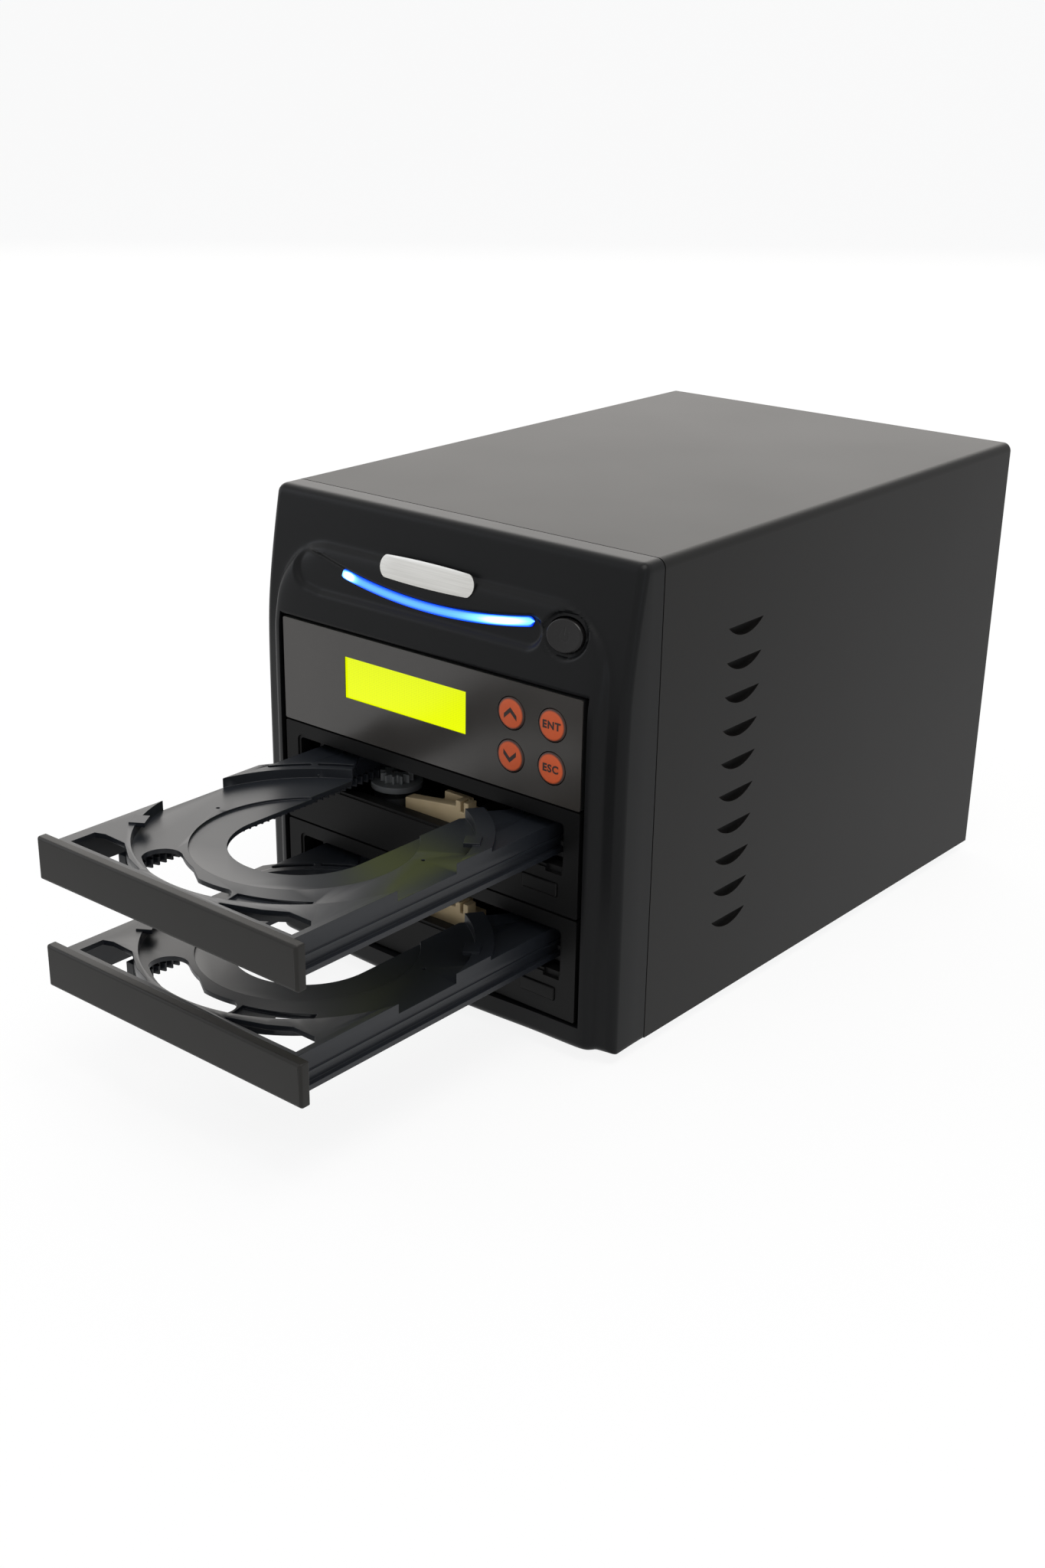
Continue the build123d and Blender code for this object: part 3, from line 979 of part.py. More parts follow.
with BuildPart() as turntable:
    post(0, SPINDLE_Y, DISH_Z - 4.0, DISH_Z + 0.4, TABLE_R - 5)
    post(0, SPINDLE_Y, DISH_Z - 1.6, DISH_Z + 0.4, TABLE_R)
    post(0, SPINDLE_Y, DISH_Z + 0.4, DISH_Z + 2.2, 7.3)
    post(0, SPINDLE_Y, DISH_Z - 5, DISH_Z - 0.8, 1.56, Mode.SUBTRACT)
save_drive(turntable.part.rotate(tilt, SLED_LIFT_DEG), "turntable")

PICKUP_Y = PIVOT_Y - 9.0 - 10.0 - PICKUP_TRAVEL     # its rear end stops 1 mm before the rods' seats
with BuildPart() as pickup:
    block(-ROD_X - 3, ROD_X + 3, PICKUP_Y - 9, PICKUP_Y + 9, ROD_Z - 2, ROD_Z + 3.4)
    block(-9, 9, PICKUP_Y - 9, PICKUP_Y + 9, PIVOT_Z - 3, ROD_Z - 2)
    post(0, PICKUP_Y - 3, ROD_Z + 3.4, ROD_Z + 5.4, 4)
    for sx in (-1, 1):
        bar_y(sx * ROD_X, ROD_Z, PICKUP_Y - 10, PICKUP_Y + 10, 1.26, Mode.SUBTRACT)
save_drive(pickup.part.rotate(tilt, SLED_LIFT_DEG), "pickup")

with BuildPart() as clamper:
    post(0, SPINDLE_Y, RIM_Z + 0.5, BRIDGE_Z0 - 0.3, CLAMPER_R)
    post(0, SPINDLE_Y, BRIDGE_Z0 - 0.3, BRIDGE_Z1 + 0.2, 8.2)
    post(0, SPINDLE_Y, BRIDGE_Z1 + 0.2, BRIDGE_Z1 + 0.7, 10.2)
save_drive(clamper.part, "clamper")

# ============================================================ power supply and rear fan
with BuildPart() as psu_case:
    hw = PSU_W / 2
    block(-hw, hw, PSU_Y0, PSU_Y1, PSU_Z0, PSU_Z1)
    block(-hw + SHEET, hw - SHEET, PSU_Y0 + SHEET, PSU_Y1 - SHEET, PSU_Z0 + SHEET, PSU_Z1 - SHEET, Mode.SUBTRACT)
    block(INLET_X - INLET_W / 2 - 2.5, INLET_X + INLET_W / 2 + 2.5, PSU_Y1 - 2, PSU_Y1 + 1,
          SOCKET_Z - INLET_H / 2 - 2.5, SOCKET_Z + INLET_H / 2 + 2.5, Mode.SUBTRACT)
    block(ROCKER_X - ROCKER_W / 2 - 1.5, ROCKER_X + ROCKER_W / 2 + 1.5, PSU_Y1 - 2, PSU_Y1 + 1,
          SOCKET_Z - ROCKER_H / 2 - 1.5, SOCKET_Z + ROCKER_H / 2 + 1.5, Mode.SUBTRACT)
    with BuildSketch(front(PSU_Y1 + 1)):
        with Locations((32, SOCKET_Z)):
            with HexLocations(3.4, 6, 7):
                RegularPolygon(2.7, 6)
    extrude(amount=SHEET + 2, mode=Mode.SUBTRACT)
    for x, z in PSU_SCREWS:
        bar_y(x, z, PSU_Y1 - 2, PSU_Y1 + 1, SCREW_R + 0.1, Mode.SUBTRACT)
    # Intake in the underside: rings and a cross left between the slots
    PSU_FAN_Y = PSU_Y0 + 46
    PSU_FAN_R = 35.0
    with BuildSketch(Plane.XY.offset(PSU_Z0 - 1)):
        with Locations((0, PSU_FAN_Y)):
            for r_in, r_out in ((16, 20), (22.5, 26.5), (29, 33)):
                Circle(r_out)
                Circle(r_in, mode=Mode.SUBTRACT)
            Rectangle(4, 80, mode=Mode.SUBTRACT)
            Rectangle(80, 4, mode=Mode.SUBTRACT)
    extrude(amount=SHEET + 2, mode=Mode.SUBTRACT)
    # Fan ring and motor seat inside
    post(0, PSU_FAN_Y, PSU_Z0 + SHEET, PSU_Z0 + 15, PSU_FAN_R + 3)
    post(0, PSU_FAN_Y, PSU_Z0 + SHEET, PSU_Z0 + 16, PSU_FAN_R + 1, Mode.SUBTRACT)
    post(0, PSU_FAN_Y, PSU_Z0 + SHEET, PSU_Z0 + 8, 1.5)
save(psu_case.part, "psu_case")

with BuildPart() as psu_fan_rotor:
    post(0, PSU_FAN_Y, PSU_Z0 + 3, PSU_Z0 + 13, 15)
    for i in range(7):
        turned = Location((0, PSU_FAN_Y, PSU_Z0 + 8), (0, 0, 360 * i / 7)) * Location((24, 0, 0), (38, 0, 0))
        with Locations(turned):
            Box(20, 1.2, 12)
    post(0, PSU_FAN_Y, PSU_Z0 + 2, PSU_Z0 + 8.3, 1.56, Mode.SUBTRACT)
save(psu_fan_rotor.part, "psu_fan_rotor")

# Inlet and switch frame in one moulding, clipped through the rear panel
INLET_WALL = 1.8
PIN_L = 14.0
with BuildPart() as power_inlet:
    with BuildSketch(front(BACK_Y)):
        with Locations(((INLET_X - 18 + ROCKER_X + 11) / 2, SOCKET_Z)):
            RectangleRounded(ROCKER_X + 11 - INLET_X + 18, 27, 2)
    extrude(amount=-1.6)
    block(INLET_X - INLET_W / 2 - INLET_WALL, INLET_X + INLET_W / 2 + INLET_WALL, BACK_Y - INLET_DEPTH - 1, BACK_Y,
          SOCKET_Z - INLET_H / 2 - INLET_WALL, SOCKET_Z + INLET_H / 2 + INLET_WALL)
    block(ROCKER_X - ROCKER_W / 2 - 1.2, ROCKER_X + ROCKER_W / 2 + 1.2, BACK_Y - 14, BACK_Y,
          SOCKET_Z - ROCKER_H / 2 - 1.2, SOCKET_Z + ROCKER_H / 2 + 1.2)
    with BuildSketch(front(BACK_Y + 2)) as socket:
        with Locations((INLET_X, SOCKET_Z)):
            Rectangle(INLET_W, INLET_H)
        chamfer(socket.vertices().group_by(Axis.Y)[-1], 4.5)
    extrude(amount=INLET_DEPTH + 0.4, mode=Mode.SUBTRACT)
    block(ROCKER_X - ROCKER_W / 2, ROCKER_X + ROCKER_W / 2, BACK_Y - 12, BACK_Y + 3,
          SOCKET_Z - ROCKER_H / 2, SOCKET_Z + ROCKER_H / 2, Mode.SUBTRACT)
    with Locations((ROCKER_X, BACK_Y - 4, SOCKET_Z)):
        Cylinder(1.26, ROCKER_W + 6, rotation=(0, 90, 0), mode=Mode.SUBTRACT)
    pin_root = BACK_Y + 1.6 - INLET_DEPTH - 0.5
    for x, z in ((-7, -2), (7, -2), (0, 2)):
        block(INLET_X + x - 1, INLET_X + x + 1, pin_root, pin_root + PIN_L, SOCKET_Z + z - 2, SOCKET_Z + z + 2)
    for x in (-7, 0, 7):
        block(INLET_X + x - 2.4, INLET_X + x + 2.4, BACK_Y - INLET_DEPTH - 7, BACK_Y - INLET_DEPTH - 1,
              SOCKET_Z - 0.4, SOCKET_Z + 0.4)
save(power_inlet.part, "power_inlet")

# Rocker: drawn midway and then pressed down on its upper half
with BuildPart() as power_rocker:
    with BuildSketch(Plane.YZ.offset(ROCKER_X - ROCKER_W / 2 + FIT)):
        with BuildLine():
            ry = BACK_Y - 4
            bulge = 3.4 + 8.7 * tan(radians(ROCKER_DEG))
            Polyline((ry + 3.4, SOCKET_Z), (ry + bulge, SOCKET_Z + 8.7), (ry - 1.5, SOCKET_Z + 7.6), (ry - 3, SOCKET_Z),
                     (ry - 1.5, SOCKET_Z - 7.6), (ry + bulge, SOCKET_Z - 8.7), (ry + 3.4, SOCKET_Z))
        make_face()
    extrude(amount=ROCKER_W - 2 * FIT)
    with Locations((ROCKER_X, BACK_Y - 4, SOCKET_Z)):
        Cylinder(1.2, ROCKER_W + 1.8, rotation=(0, 90, 0))
rocker_axis = Axis((ROCKER_X, BACK_Y - 4, SOCKET_Z), (1, 0, 0))
save(power_rocker.part.rotate(rocker_axis, ROCKER_DEG), "power_rocker")

# Exhaust fan
FAN_Y0 = PANEL_Y - FAN_T
FAN_HUB = 17.5
with BuildPart() as exhaust_fan_frame:
    with BuildSketch(front(PANEL_Y)):
        with Locations((0, FAN_Z)):
            RectangleRounded(FAN_SIZE, FAN_SIZE, 4)
            Circle(FAN_SIZE / 2 - 2, mode=Mode.SUBTRACT)
            with Locations(*[(sx * FAN_PITCH / 2, sz * FAN_PITCH / 2) for sx in (-1, 1) for sz in (-1, 1)]):
                Circle(2.2, mode=Mode.SUBTRACT)
    extrude(amount=FAN_T)
    # The waist between the two flanges
    with BuildSketch(front(PANEL_Y - 4)):
        with Locations((0, FAN_Z)):
            Rectangle(FAN_SIZE + 2, FAN_SIZE + 2)
            Circle(FAN_SIZE / 2 - 0.2, mode=Mode.SUBTRACT)
    extrude(amount=FAN_T - 8, mode=Mode.SUBTRACT)
    bar_y(0, FAN_Z, PANEL_Y - 3, PANEL_Y, FAN_HUB - 0.5)
    for a in (45, 135, 225, 315):
        strut = Location((0, PANEL_Y - 1.5, FAN_Z), (0, a, 0)) * Location((27.5, 0, 0))
        with Locations(strut):
            Box(22.5, 3, 4)
    bar_y(0, FAN_Z, PANEL_Y - 14, PANEL_Y - 2, 2.0)
save(exhaust_fan_frame.part, "exhaust_fan_frame")

with BuildPart() as exhaust_fan_rotor:
    bar_y(0, FAN_Z, FAN_Y0 + 2, PANEL_Y - 4, FAN_HUB)
    for i in range(7):
        turned = Location((0, (FAN_Y0 + PANEL_Y) / 2 - 1.4, FAN_Z), (0, 360 * i / 7, 0)) * Location((26.2, 0, 0), (42, 0, 0))
        with Locations(turned):
            Box(18.6, 1.3, 21)
    bar_y(0, FAN_Z, PANEL_Y - 14.4, PANEL_Y - 3, 2.06, Mode.SUBTRACT)
save(exhaust_fan_rotor.part, "exhaust_fan_rotor")

# Wire grille over the fan: rings, a diagonal cross and four screw eyes
WIRE_R = 0.75
with BuildPart() as fan_grille:
    with BuildSketch(front(BACK_Y + 0.05)):
        with Locations((0, FAN_Z)):
            for r in (33, 25, 17, 9):
                Circle(r + WIRE_R)
                Circle(r - WIRE_R, mode=Mode.SUBTRACT)
            for a in (45, 135):
                Rectangle(FAN_PITCH * sqrt(2) - 5.2, 2 * WIRE_R, rotation=a)
        with Locations(*[(sx * FAN_PITCH / 2, FAN_Z + sz * FAN_PITCH / 2) for sx in (-1, 1) for sz in (-1, 1)]):
            Circle(2.9 + WIRE_R)
            Circle(2.9 - WIRE_R, mode=Mode.SUBTRACT)
    extrude(amount=-2 * WIRE_R)
save(fan_grille.part, "fan_grille")

with BuildPart() as case_screws:
    for sx in (-1, 1):
        for sz in (-1, 1):
            x, z = sx * FAN_PITCH / 2, FAN_Z + sz * FAN_PITCH / 2
            bar_y(x, z, BACK_Y + 2 * WIRE_R + 0.05, BACK_Y + REAR_PROUD, 3.4)
            bar_y(x, z, PANEL_Y - 4, BACK_Y + 2 * WIRE_R + 0.05, 2.05)
    for x, z in PSU_SCREWS + COVER_SCREWS:
        bar_y(x, z, BACK_Y, BACK_Y + 1.8, 3.2)
        bar_y(x, z, PANEL_Y - 4, BACK_Y, SCREW_R)
save(case_screws.part, "case_screws")

# ============================================================================ cables
# Round cables: straight runs joined by arcs that meet them smoothly, with a plug at each end.
CABLE_R = 2.2
CABLE_BEND = 9.0
PLUG_D = 8.0


def cable(name, runs):
    """One node of cables. Each run is a list of corner points, all along the axes."""
    with BuildPart() as loom:
        for points in runs:
            with BuildLine() as path:
                FilletPolyline(*points, radius=CABLE_BEND)
            with BuildSketch(Plane(origin=points[0], z_dir=path.line % 0)):
                Circle(CABLE_R)
            sweep(path=path.line)
            print("tube", name, "bend radius", CABLE_BEND, "tube radius", CABLE_R)
        for points in runs:
            for end, nxt in ((points[0], points[1]), (points[-1], points[-2])):
                step = [0 if abs(q - p) < 1e-6 else (1 if q > p else -1) for p, q in zip(end, nxt)]
                centre = [p + s * PLUG_D / 2 for p, s in zip(end, step)]
                size = [PLUG_D if s else w for s, w in zip(step, (12.0, 6.0, 6.0))]
                with Locations(tuple(centre)):
                    Box(*size)
    save(loom.part, name)


DATA_Z = CTRL_Z + 5.0
DRIVE_BACK = HOUSE_Y1 + 0.2
SOCKETS_BACK = CTRL_Y1 + 0.2
PLUG_Z = IN_Z0 + 7.0
cable("upper_data_cable", [[
    (-26, SOCKETS_BACK, DATA_Z), (-26, DRIVE_BACK + 22, DATA_Z), (-26, DRIVE_BACK + 22, PLUG_Z), (-26, DRIVE_BACK, PLUG_Z)]])
cable("lower_data_cable", [[
    (-44, SOCKETS_BACK, DATA_Z), (-44, DRIVE_BACK + 30, DATA_Z), (-44, DRIVE_BACK + 30, PLUG_Z - BAY_PITCH),
    (-44, DRIVE_BACK, PLUG_Z - BAY_PITCH)]])
cable("power_harness", [
    [(44, SOCKETS_BACK, CTRL_Z + 6), (44, SOCKETS_BACK + 42, CTRL_Z + 6), (44, SOCKETS_BACK + 42, PSU_Z0 + 10),
     (44, PSU_Y0 - 0.2, PSU_Z0 + 10)],
    [(30, PSU_Y0 + 12, PSU_Z0 - 0.2), (30, PSU_Y0 + 12, PLUG_Z), (30, DRIVE_BACK, PLUG_Z)],
    [(46, PSU_Y0 + 12, PSU_Z0 - 0.2), (46, PSU_Y0 + 12, PLUG_Z - BAY_PITCH), (46, DRIVE_BACK, PLUG_Z - BAY_PITCH)],
])
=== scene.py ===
"""Looks for a one-to-one optical disc duplicator tower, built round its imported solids.

The sizes in the code are millimetres measured from two places of the solids: the
faceplates' front plane in depth and the floor in height. mm() turns them to metres.
"""

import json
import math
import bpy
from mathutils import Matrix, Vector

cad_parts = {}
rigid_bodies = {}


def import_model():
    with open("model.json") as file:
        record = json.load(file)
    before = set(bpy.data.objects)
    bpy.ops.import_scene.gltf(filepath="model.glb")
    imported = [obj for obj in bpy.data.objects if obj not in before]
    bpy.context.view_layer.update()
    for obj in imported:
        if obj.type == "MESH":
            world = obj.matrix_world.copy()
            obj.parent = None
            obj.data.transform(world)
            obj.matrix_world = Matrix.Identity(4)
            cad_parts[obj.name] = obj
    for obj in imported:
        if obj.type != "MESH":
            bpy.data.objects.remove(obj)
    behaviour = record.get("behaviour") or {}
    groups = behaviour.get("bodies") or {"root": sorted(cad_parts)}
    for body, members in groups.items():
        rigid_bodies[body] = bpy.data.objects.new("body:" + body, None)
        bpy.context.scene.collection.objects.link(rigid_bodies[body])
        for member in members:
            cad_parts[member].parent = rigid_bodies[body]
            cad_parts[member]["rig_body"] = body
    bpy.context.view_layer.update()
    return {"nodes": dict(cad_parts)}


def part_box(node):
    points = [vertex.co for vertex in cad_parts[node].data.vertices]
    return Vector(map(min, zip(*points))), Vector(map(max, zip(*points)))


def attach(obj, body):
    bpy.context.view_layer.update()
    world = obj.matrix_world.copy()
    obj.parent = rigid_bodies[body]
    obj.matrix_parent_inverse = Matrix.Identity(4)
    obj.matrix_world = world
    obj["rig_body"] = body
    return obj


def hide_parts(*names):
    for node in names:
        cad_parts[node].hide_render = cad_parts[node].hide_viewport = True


bl_info = {
    "name": "Disc Duplicator Tower",
    "version": (1, 0, 0),
    "blender": (4, 5, 0),
    "location": "3D View > Sidebar > Duplicator",
    "description": "Builds the visible pieces, materials and studio of a disc duplicator tower",
    "category": "Object",
}

import bmesh
import bpy
import numpy as np
from mathutils import Matrix, Vector

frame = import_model()

# Places read from the frame, in metres
FACE_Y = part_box("upper_drive_plate")[0].y          # the faceplates' front plane
CASE_LOW, CASE_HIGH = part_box("case_cover")
SEAM_Y = CASE_LOW.y
BACK_Y = CASE_HIGH.y
HALF_W = CASE_HIGH.x * 1000                        # half the case's width, mm
FLOOR_Z = CASE_LOW.z * 1000                        # bottom and top of the case, mm
TOP_Z = CASE_HIGH.z * 1000
LEAN_Z = TOP_Z - 51.0                              # the slab leans back from here
LEAN = math.radians(12.0)

# Places on the leaning slab, mm: across, and up its slope
BUTTON_X, BUTTON_V = 61.6, 23.2                    # centre of the power button
BAR_HALF = 47.0                                    # the light bar's half length
BAR_SAG = 4.8                                      # how far its middle hangs below its ends
BAR_END_V = 25.4


# ------------------------------------------------------------------ small helpers
def linear(hex_colour, alpha=1.0):
    """An sRGB hex colour as linear RGBA."""
    h = hex_colour.lstrip("#")
    rgb = [int(h[i:i + 2], 16) / 255 for i in (0, 2, 4)]
    return [c / 12.92 if c <= 0.04045 else ((c + 0.055) / 1.055) ** 2.4 for c in rgb] + [alpha]


def mm(points):
    """Points given in mm, with depth from the faceplates' plane, as metres in the shared frame."""
    out = np.asarray(points, float) / 1000.0
    out[..., 1] += FACE_Y
    return out


def on_lean(x, v, n):
    """Points of the leaning slab, mm: x across, v up the slope, n out along its normal."""
    x, v, n = np.broadcast_arrays(np.asarray(x, float), np.asarray(v, float), np.asarray(n, float))
    y = -0.8 + v * math.sin(LEAN) - n * math.cos(LEAN)
    z = LEAN_Z + v * math.cos(LEAN) + n * math.sin(LEAN)
    return np.stack([x, y, z], axis=-1)


def add_piece(name, verts, faces, body, material, sharp=35.0):
    """Makes a mesh object from arrays of vertices and faces, shades it smooth and lets it ride on a body."""
    mesh = bpy.data.meshes.new(name)
    mesh.from_pydata(np.asarray(verts, float).reshape(-1, 3).tolist(), [], [list(f) for f in faces])
    mesh.update()
    mesh.validate()
    mesh.shade_smooth()
    if sharp:
        mesh.set_sharp_from_angle(angle=math.radians(sharp))
    piece = bpy.data.objects.new(name, mesh)
    bpy.context.scene.collection.objects.link(piece)
    mesh.materials.append(material)
    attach(piece, body)
    return piece


def grid_faces(rows, cols, wrap=False, start=0):
    """Quads of a rows by cols grid of vertices, closed along the columns where wrap is set."""
    r = np.arange(rows - 1)[:, None]
    c = np.arange(cols if wrap else cols - 1)[None, :]
    c2 = (c + 1) % cols
    quads = np.stack([r * cols + c, r * cols + c2, (r + 1) * cols + c2, (r + 1) * cols + c], axis=-1)
    return (quads.reshape(-1, 4) + start).tolist()


def lathe(profile, segments, centre, axis="Y"):
    """A profile of (radius, distance along the axis) pairs turned round the axis, mm.

    Poles at radius 0 are merged later, by outwards().
    """
    profile = np.asarray(profile, float)
    a = np.linspace(0, 2 * math.pi, segments, endpoint=False)[None, :]
    r, h = profile[:, 0][:, None], profile[:, 1][:, None]
    u, v, w = r * np.cos(a), r * np.sin(a), h + 0 * a
    if axis == "Z":
        pts = np.stack([u, v, w], axis=-1)
    elif axis == "X":
        pts = np.stack([w, u, v], axis=-1)
    else:
        pts = np.stack([v, w, u], axis=-1)
    return mm(pts + np.asarray(centre, float)), grid_faces(len(profile), segments, wrap=True)


def tube(path, radius, segments=10, closed=False):
    """A round tube along a path of points, mm: a circle in the plane square to the path at each point."""
    path = np.asarray(path, float)
    if closed:
        tangent = np.roll(path, -1, 0) - np.roll(path, 1, 0)
    else:
        tangent = np.gradient(path, axis=0)
    tangent /= np.linalg.norm(tangent, axis=1, keepdims=True)
    side = np.cross(tangent, [0.0, 1.0, 0.0])
    flat = np.linalg.norm(side, axis=1) < 1e-3
    side[flat] = np.cross(tangent[flat], [1.0, 0.0, 0.0])
    side /= np.linalg.norm(side, axis=1, keepdims=True)
    up = np.cross(side, tangent)
    a = np.linspace(0, 2 * math.pi, segments, endpoint=False)
    ring = radius * (np.cos(a)[None, :, None] * side[:, None, :] + np.sin(a)[None, :, None] * up[:, None, :])
    pts = path[:, None, :] + ring
    count = len(path)
    faces = grid_faces(count, segments, wrap=True)
    if closed:
        c = np.arange(segments)
        c2 = (c + 1) % segments
        last = (count - 1) * segments
        faces += np.stack([last + c, last + c2, c2, c], axis=-1).tolist()
    else:
        faces += [list(range(segments))[::-1], list(range((count - 1) * segments, count * segments))]
    return mm(pts.reshape(-1, 3)), faces


def prism(outline, y0, y1, rim=0.0):
    """A flat outline in X and Z, mm, carried from depth y0 back to y1, its front edge eased by rim."""
    outline = np.asarray(outline, float)
    middle = outline.mean(axis=0)
    rings = [(y1, 0.0), (y0 + rim, 0.0)]
    if rim:
        rings += [(y0 + rim * 0.3, rim * 0.3), (y0, rim)]
    pts = []
    for y, inset in rings:
        span = outline - middle
        scale = 1 - inset / np.maximum(np.linalg.norm(span, axis=1, keepdims=True), 1e-6)
        flat = middle + span * scale
        pts.append(np.stack([flat[:, 0], np.full(len(flat), y), flat[:, 1]], axis=-1))
    n = len(outline)
    faces = grid_faces(len(rings), n, wrap=True)
    faces += [list(range(n))[::-1], list(range((len(rings) - 1) * n, len(rings) * n))]
    return mm(np.concatenate(pts)), faces


def outwards(piece):
    """Merges doubles and turns all faces outwards."""
    bm = bmesh.new()
    bm.from_mesh(piece.data)
    bmesh.ops.remove_doubles(bm, verts=bm.verts, dist=1e-6)
    bmesh.ops.recalc_face_normals(bm, faces=bm.faces)
    bm.to_mesh(piece.data)
    bm.free()
    return piece


def joined(parts):
    """Several (vertices, faces) pairs as one pair."""
    verts, faces, start = [], [], 0
    for v, f in parts:
        verts.append(np.asarray(v).reshape(-1, 3))
        faces += [[i + start for i in face] for face in f]
        start += len(verts[-1])
    return np.concatenate(verts), faces


def softened(node, width_mm, material, segments=2, angle=32.0, clamp=True):
    """A copy of a solid's mesh, its flat faces merged and its edges eased by a bevel, in the node's place."""
    source = frame["nodes"][node]
    bm = bmesh.new()
    bm.from_mesh(source.data)
    bmesh.ops.remove_doubles(bm, verts=bm.verts, dist=2e-6)
    bmesh.ops.dissolve_limit(bm, angle_limit=math.radians(1.0), verts=bm.verts, edges=bm.edges)
    mesh = bpy.data.meshes.new(node + "_soft")
    bm.to_mesh(mesh)
    bm.free()
    mesh.materials.clear()
    mesh.materials.append(material)
    mesh.shade_smooth()
    mesh.set_sharp_from_angle(angle=math.radians(angle))
    piece = bpy.data.objects.new(node + "_soft", mesh)
    bpy.context.scene.collection.objects.link(piece)
    bevel = piece.modifiers.new("eased_edges", "BEVEL")
    bevel.width = width_mm / 1000
    bevel.segments = segments
    bevel.limit_method = "ANGLE"
    bevel.angle_limit = math.radians(angle)
    bevel.harden_normals = True
    bevel.use_clamp_overlap = clamp
    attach(piece, source["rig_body"])
    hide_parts(node)
    return piece


def dress(node, material):
    """Gives a node of the frame its material."""
    data = frame["nodes"][node].data
    data.materials.clear()
    data.materials.append(material)
    data.shade_smooth()
    data.set_sharp_from_angle(angle=math.radians(28.0))


# ---------------------------------------------------------------------- materials
def put(tree, kind, settings=None, links=None):
    """Adds one node, sets its sockets or properties by name and links its inputs."""
    node = tree.nodes.new(kind)
    for key, value in (settings or {}).items():
        if isinstance(key, int) or key in node.inputs:
            node.inputs[key].default_value = value
        else:
            setattr(node, key, value)
    for key, output in (links or {}).items():
        tree.links.new(output, node.inputs[key])
    return node


def new_material(name):
    """An empty material with its Principled shader and the piece's own coordinates."""
    material = bpy.data.materials.new(name)
    material.use_nodes = True
    tree = material.node_tree
    shader = tree.nodes["Principled BSDF"]
    coords = tree.nodes.new("ShaderNodeTexCoord").outputs["Object"]
    return material, tree, shader, coords


def shade(shader, colour, rough, metal=0.0, ior=1.5):
    """Sets the constant sockets of a Principled shader."""
    shader.inputs["Base Color"].default_value = linear(colour)
    shader.inputs["Roughness"].default_value = rough
    shader.inputs["Metallic"].default_value = metal
    shader.inputs["IOR"].default_value = ior


def grain(tree, shader, coords, size_mm, depth_mm, base=None):
    """Fine surface grain as bump: noise whose cells are size_mm wide and depth_mm deep."""
    noise = put(tree, "ShaderNodeTexNoise", {"Scale": 1000.0 / size_mm, "Detail": 2.0, "Roughness": 0.55},
                {"Vector": coords})
    bump = put(tree, "ShaderNodeBump", {"Strength": 0.6, "Distance": depth_mm / 1000},
               {"Height": noise.outputs["Fac"]})
    if base is not None:
        tree.links.new(base, bump.inputs["Normal"])
    tree.links.new(bump.outputs["Normal"], shader.inputs["Normal"])


def mottled(tree, shader, coords, dark, light, size_mm, rough_low, rough_high):
    """Slow variation of colour and gloss over a moulded or painted surface."""
    noise = put(tree, "ShaderNodeTexNoise", {"Scale": 1000.0 / size_mm, "Detail": 3.0}, {"Vector": coords})
    tree.links.new(blend_colours(tree, noise.outputs["Fac"], dark, light), shader.inputs["Base Color"])
    rough = put(tree, "ShaderNodeMapRange", {"To Min": rough_low, "To Max": rough_high},
                {"Value": noise.outputs["Fac"]})
    tree.links.new(rough.outputs["Result"], shader.inputs["Roughness"])


def powder_coated_steel(p):
    """Satin black powder coat on steel sheet: an even, fine orange peel that spreads the highlights."""
    material, tree, shader, coords = new_material("powder_coated_steel")
    shade(shader, p.case_colour, 0.42, ior=1.26)
    mottled(tree, shader, coords, p.case_colour, "#121110", 60.0, 0.40, 0.44)
    # Orange peel about 1.2 mm wide, coarser than the real 0.5 mm so that it shows
    grain(tree, shader, coords, 1.2, 0.010)
    return material


def moulded_abs(p):
    """Spark-textured black ABS of the bezel: soft, slightly grey sheen on its curves."""
    material, tree, shader, coords = new_material("moulded_abs")
    shade(shader, p.bezel_colour, 0.36, ior=1.23)
    mottled(tree, shader, coords, p.bezel_colour, "#101112", 35.0, 0.33, 0.38)
    grain(tree, shader, coords, 0.5, 0.008)
    return material


def faceplate_abs(p):
    """Finer grained black ABS of the drives' faceplates."""
    material, tree, shader, coords = new_material("faceplate_abs")
    shade(shader, "#0c0c0c", 0.48, ior=1.22)
    mottled(tree, shader, coords, "#0b0b0b", "#0f0f0f", 25.0, 0.44, 0.50)
    grain(tree, shader, coords, 0.35, 0.008)
    return material


def polystyrene(p):
    """Charcoal high-impact polystyrene of the trays: semi-gloss with a bluish sheen."""
    material, tree, shader, coords = new_material("charcoal_polystyrene")
    shade(shader, p.tray_colour, 0.30, ior=1.38)
    mottled(tree, shader, coords, p.tray_colour, "#1d2025", 30.0, 0.29, 0.37)
    grain(tree, shader, coords, 0.8, 0.004)
    return material


def polished_front(p):
    """Tray front bars: smooth black ABS with a faint brushed haze that catches the light."""
    material, tree, shader, coords = new_material("polished_tray_front")
    shade(shader, "#100f0c", 0.46, ior=1.36)
    mottled(tree, shader, coords, "#0f0e0b", "#15130f", 18.0, 0.42, 0.50)
    grain(tree, shader, coords, 0.6, 0.004)
    return material


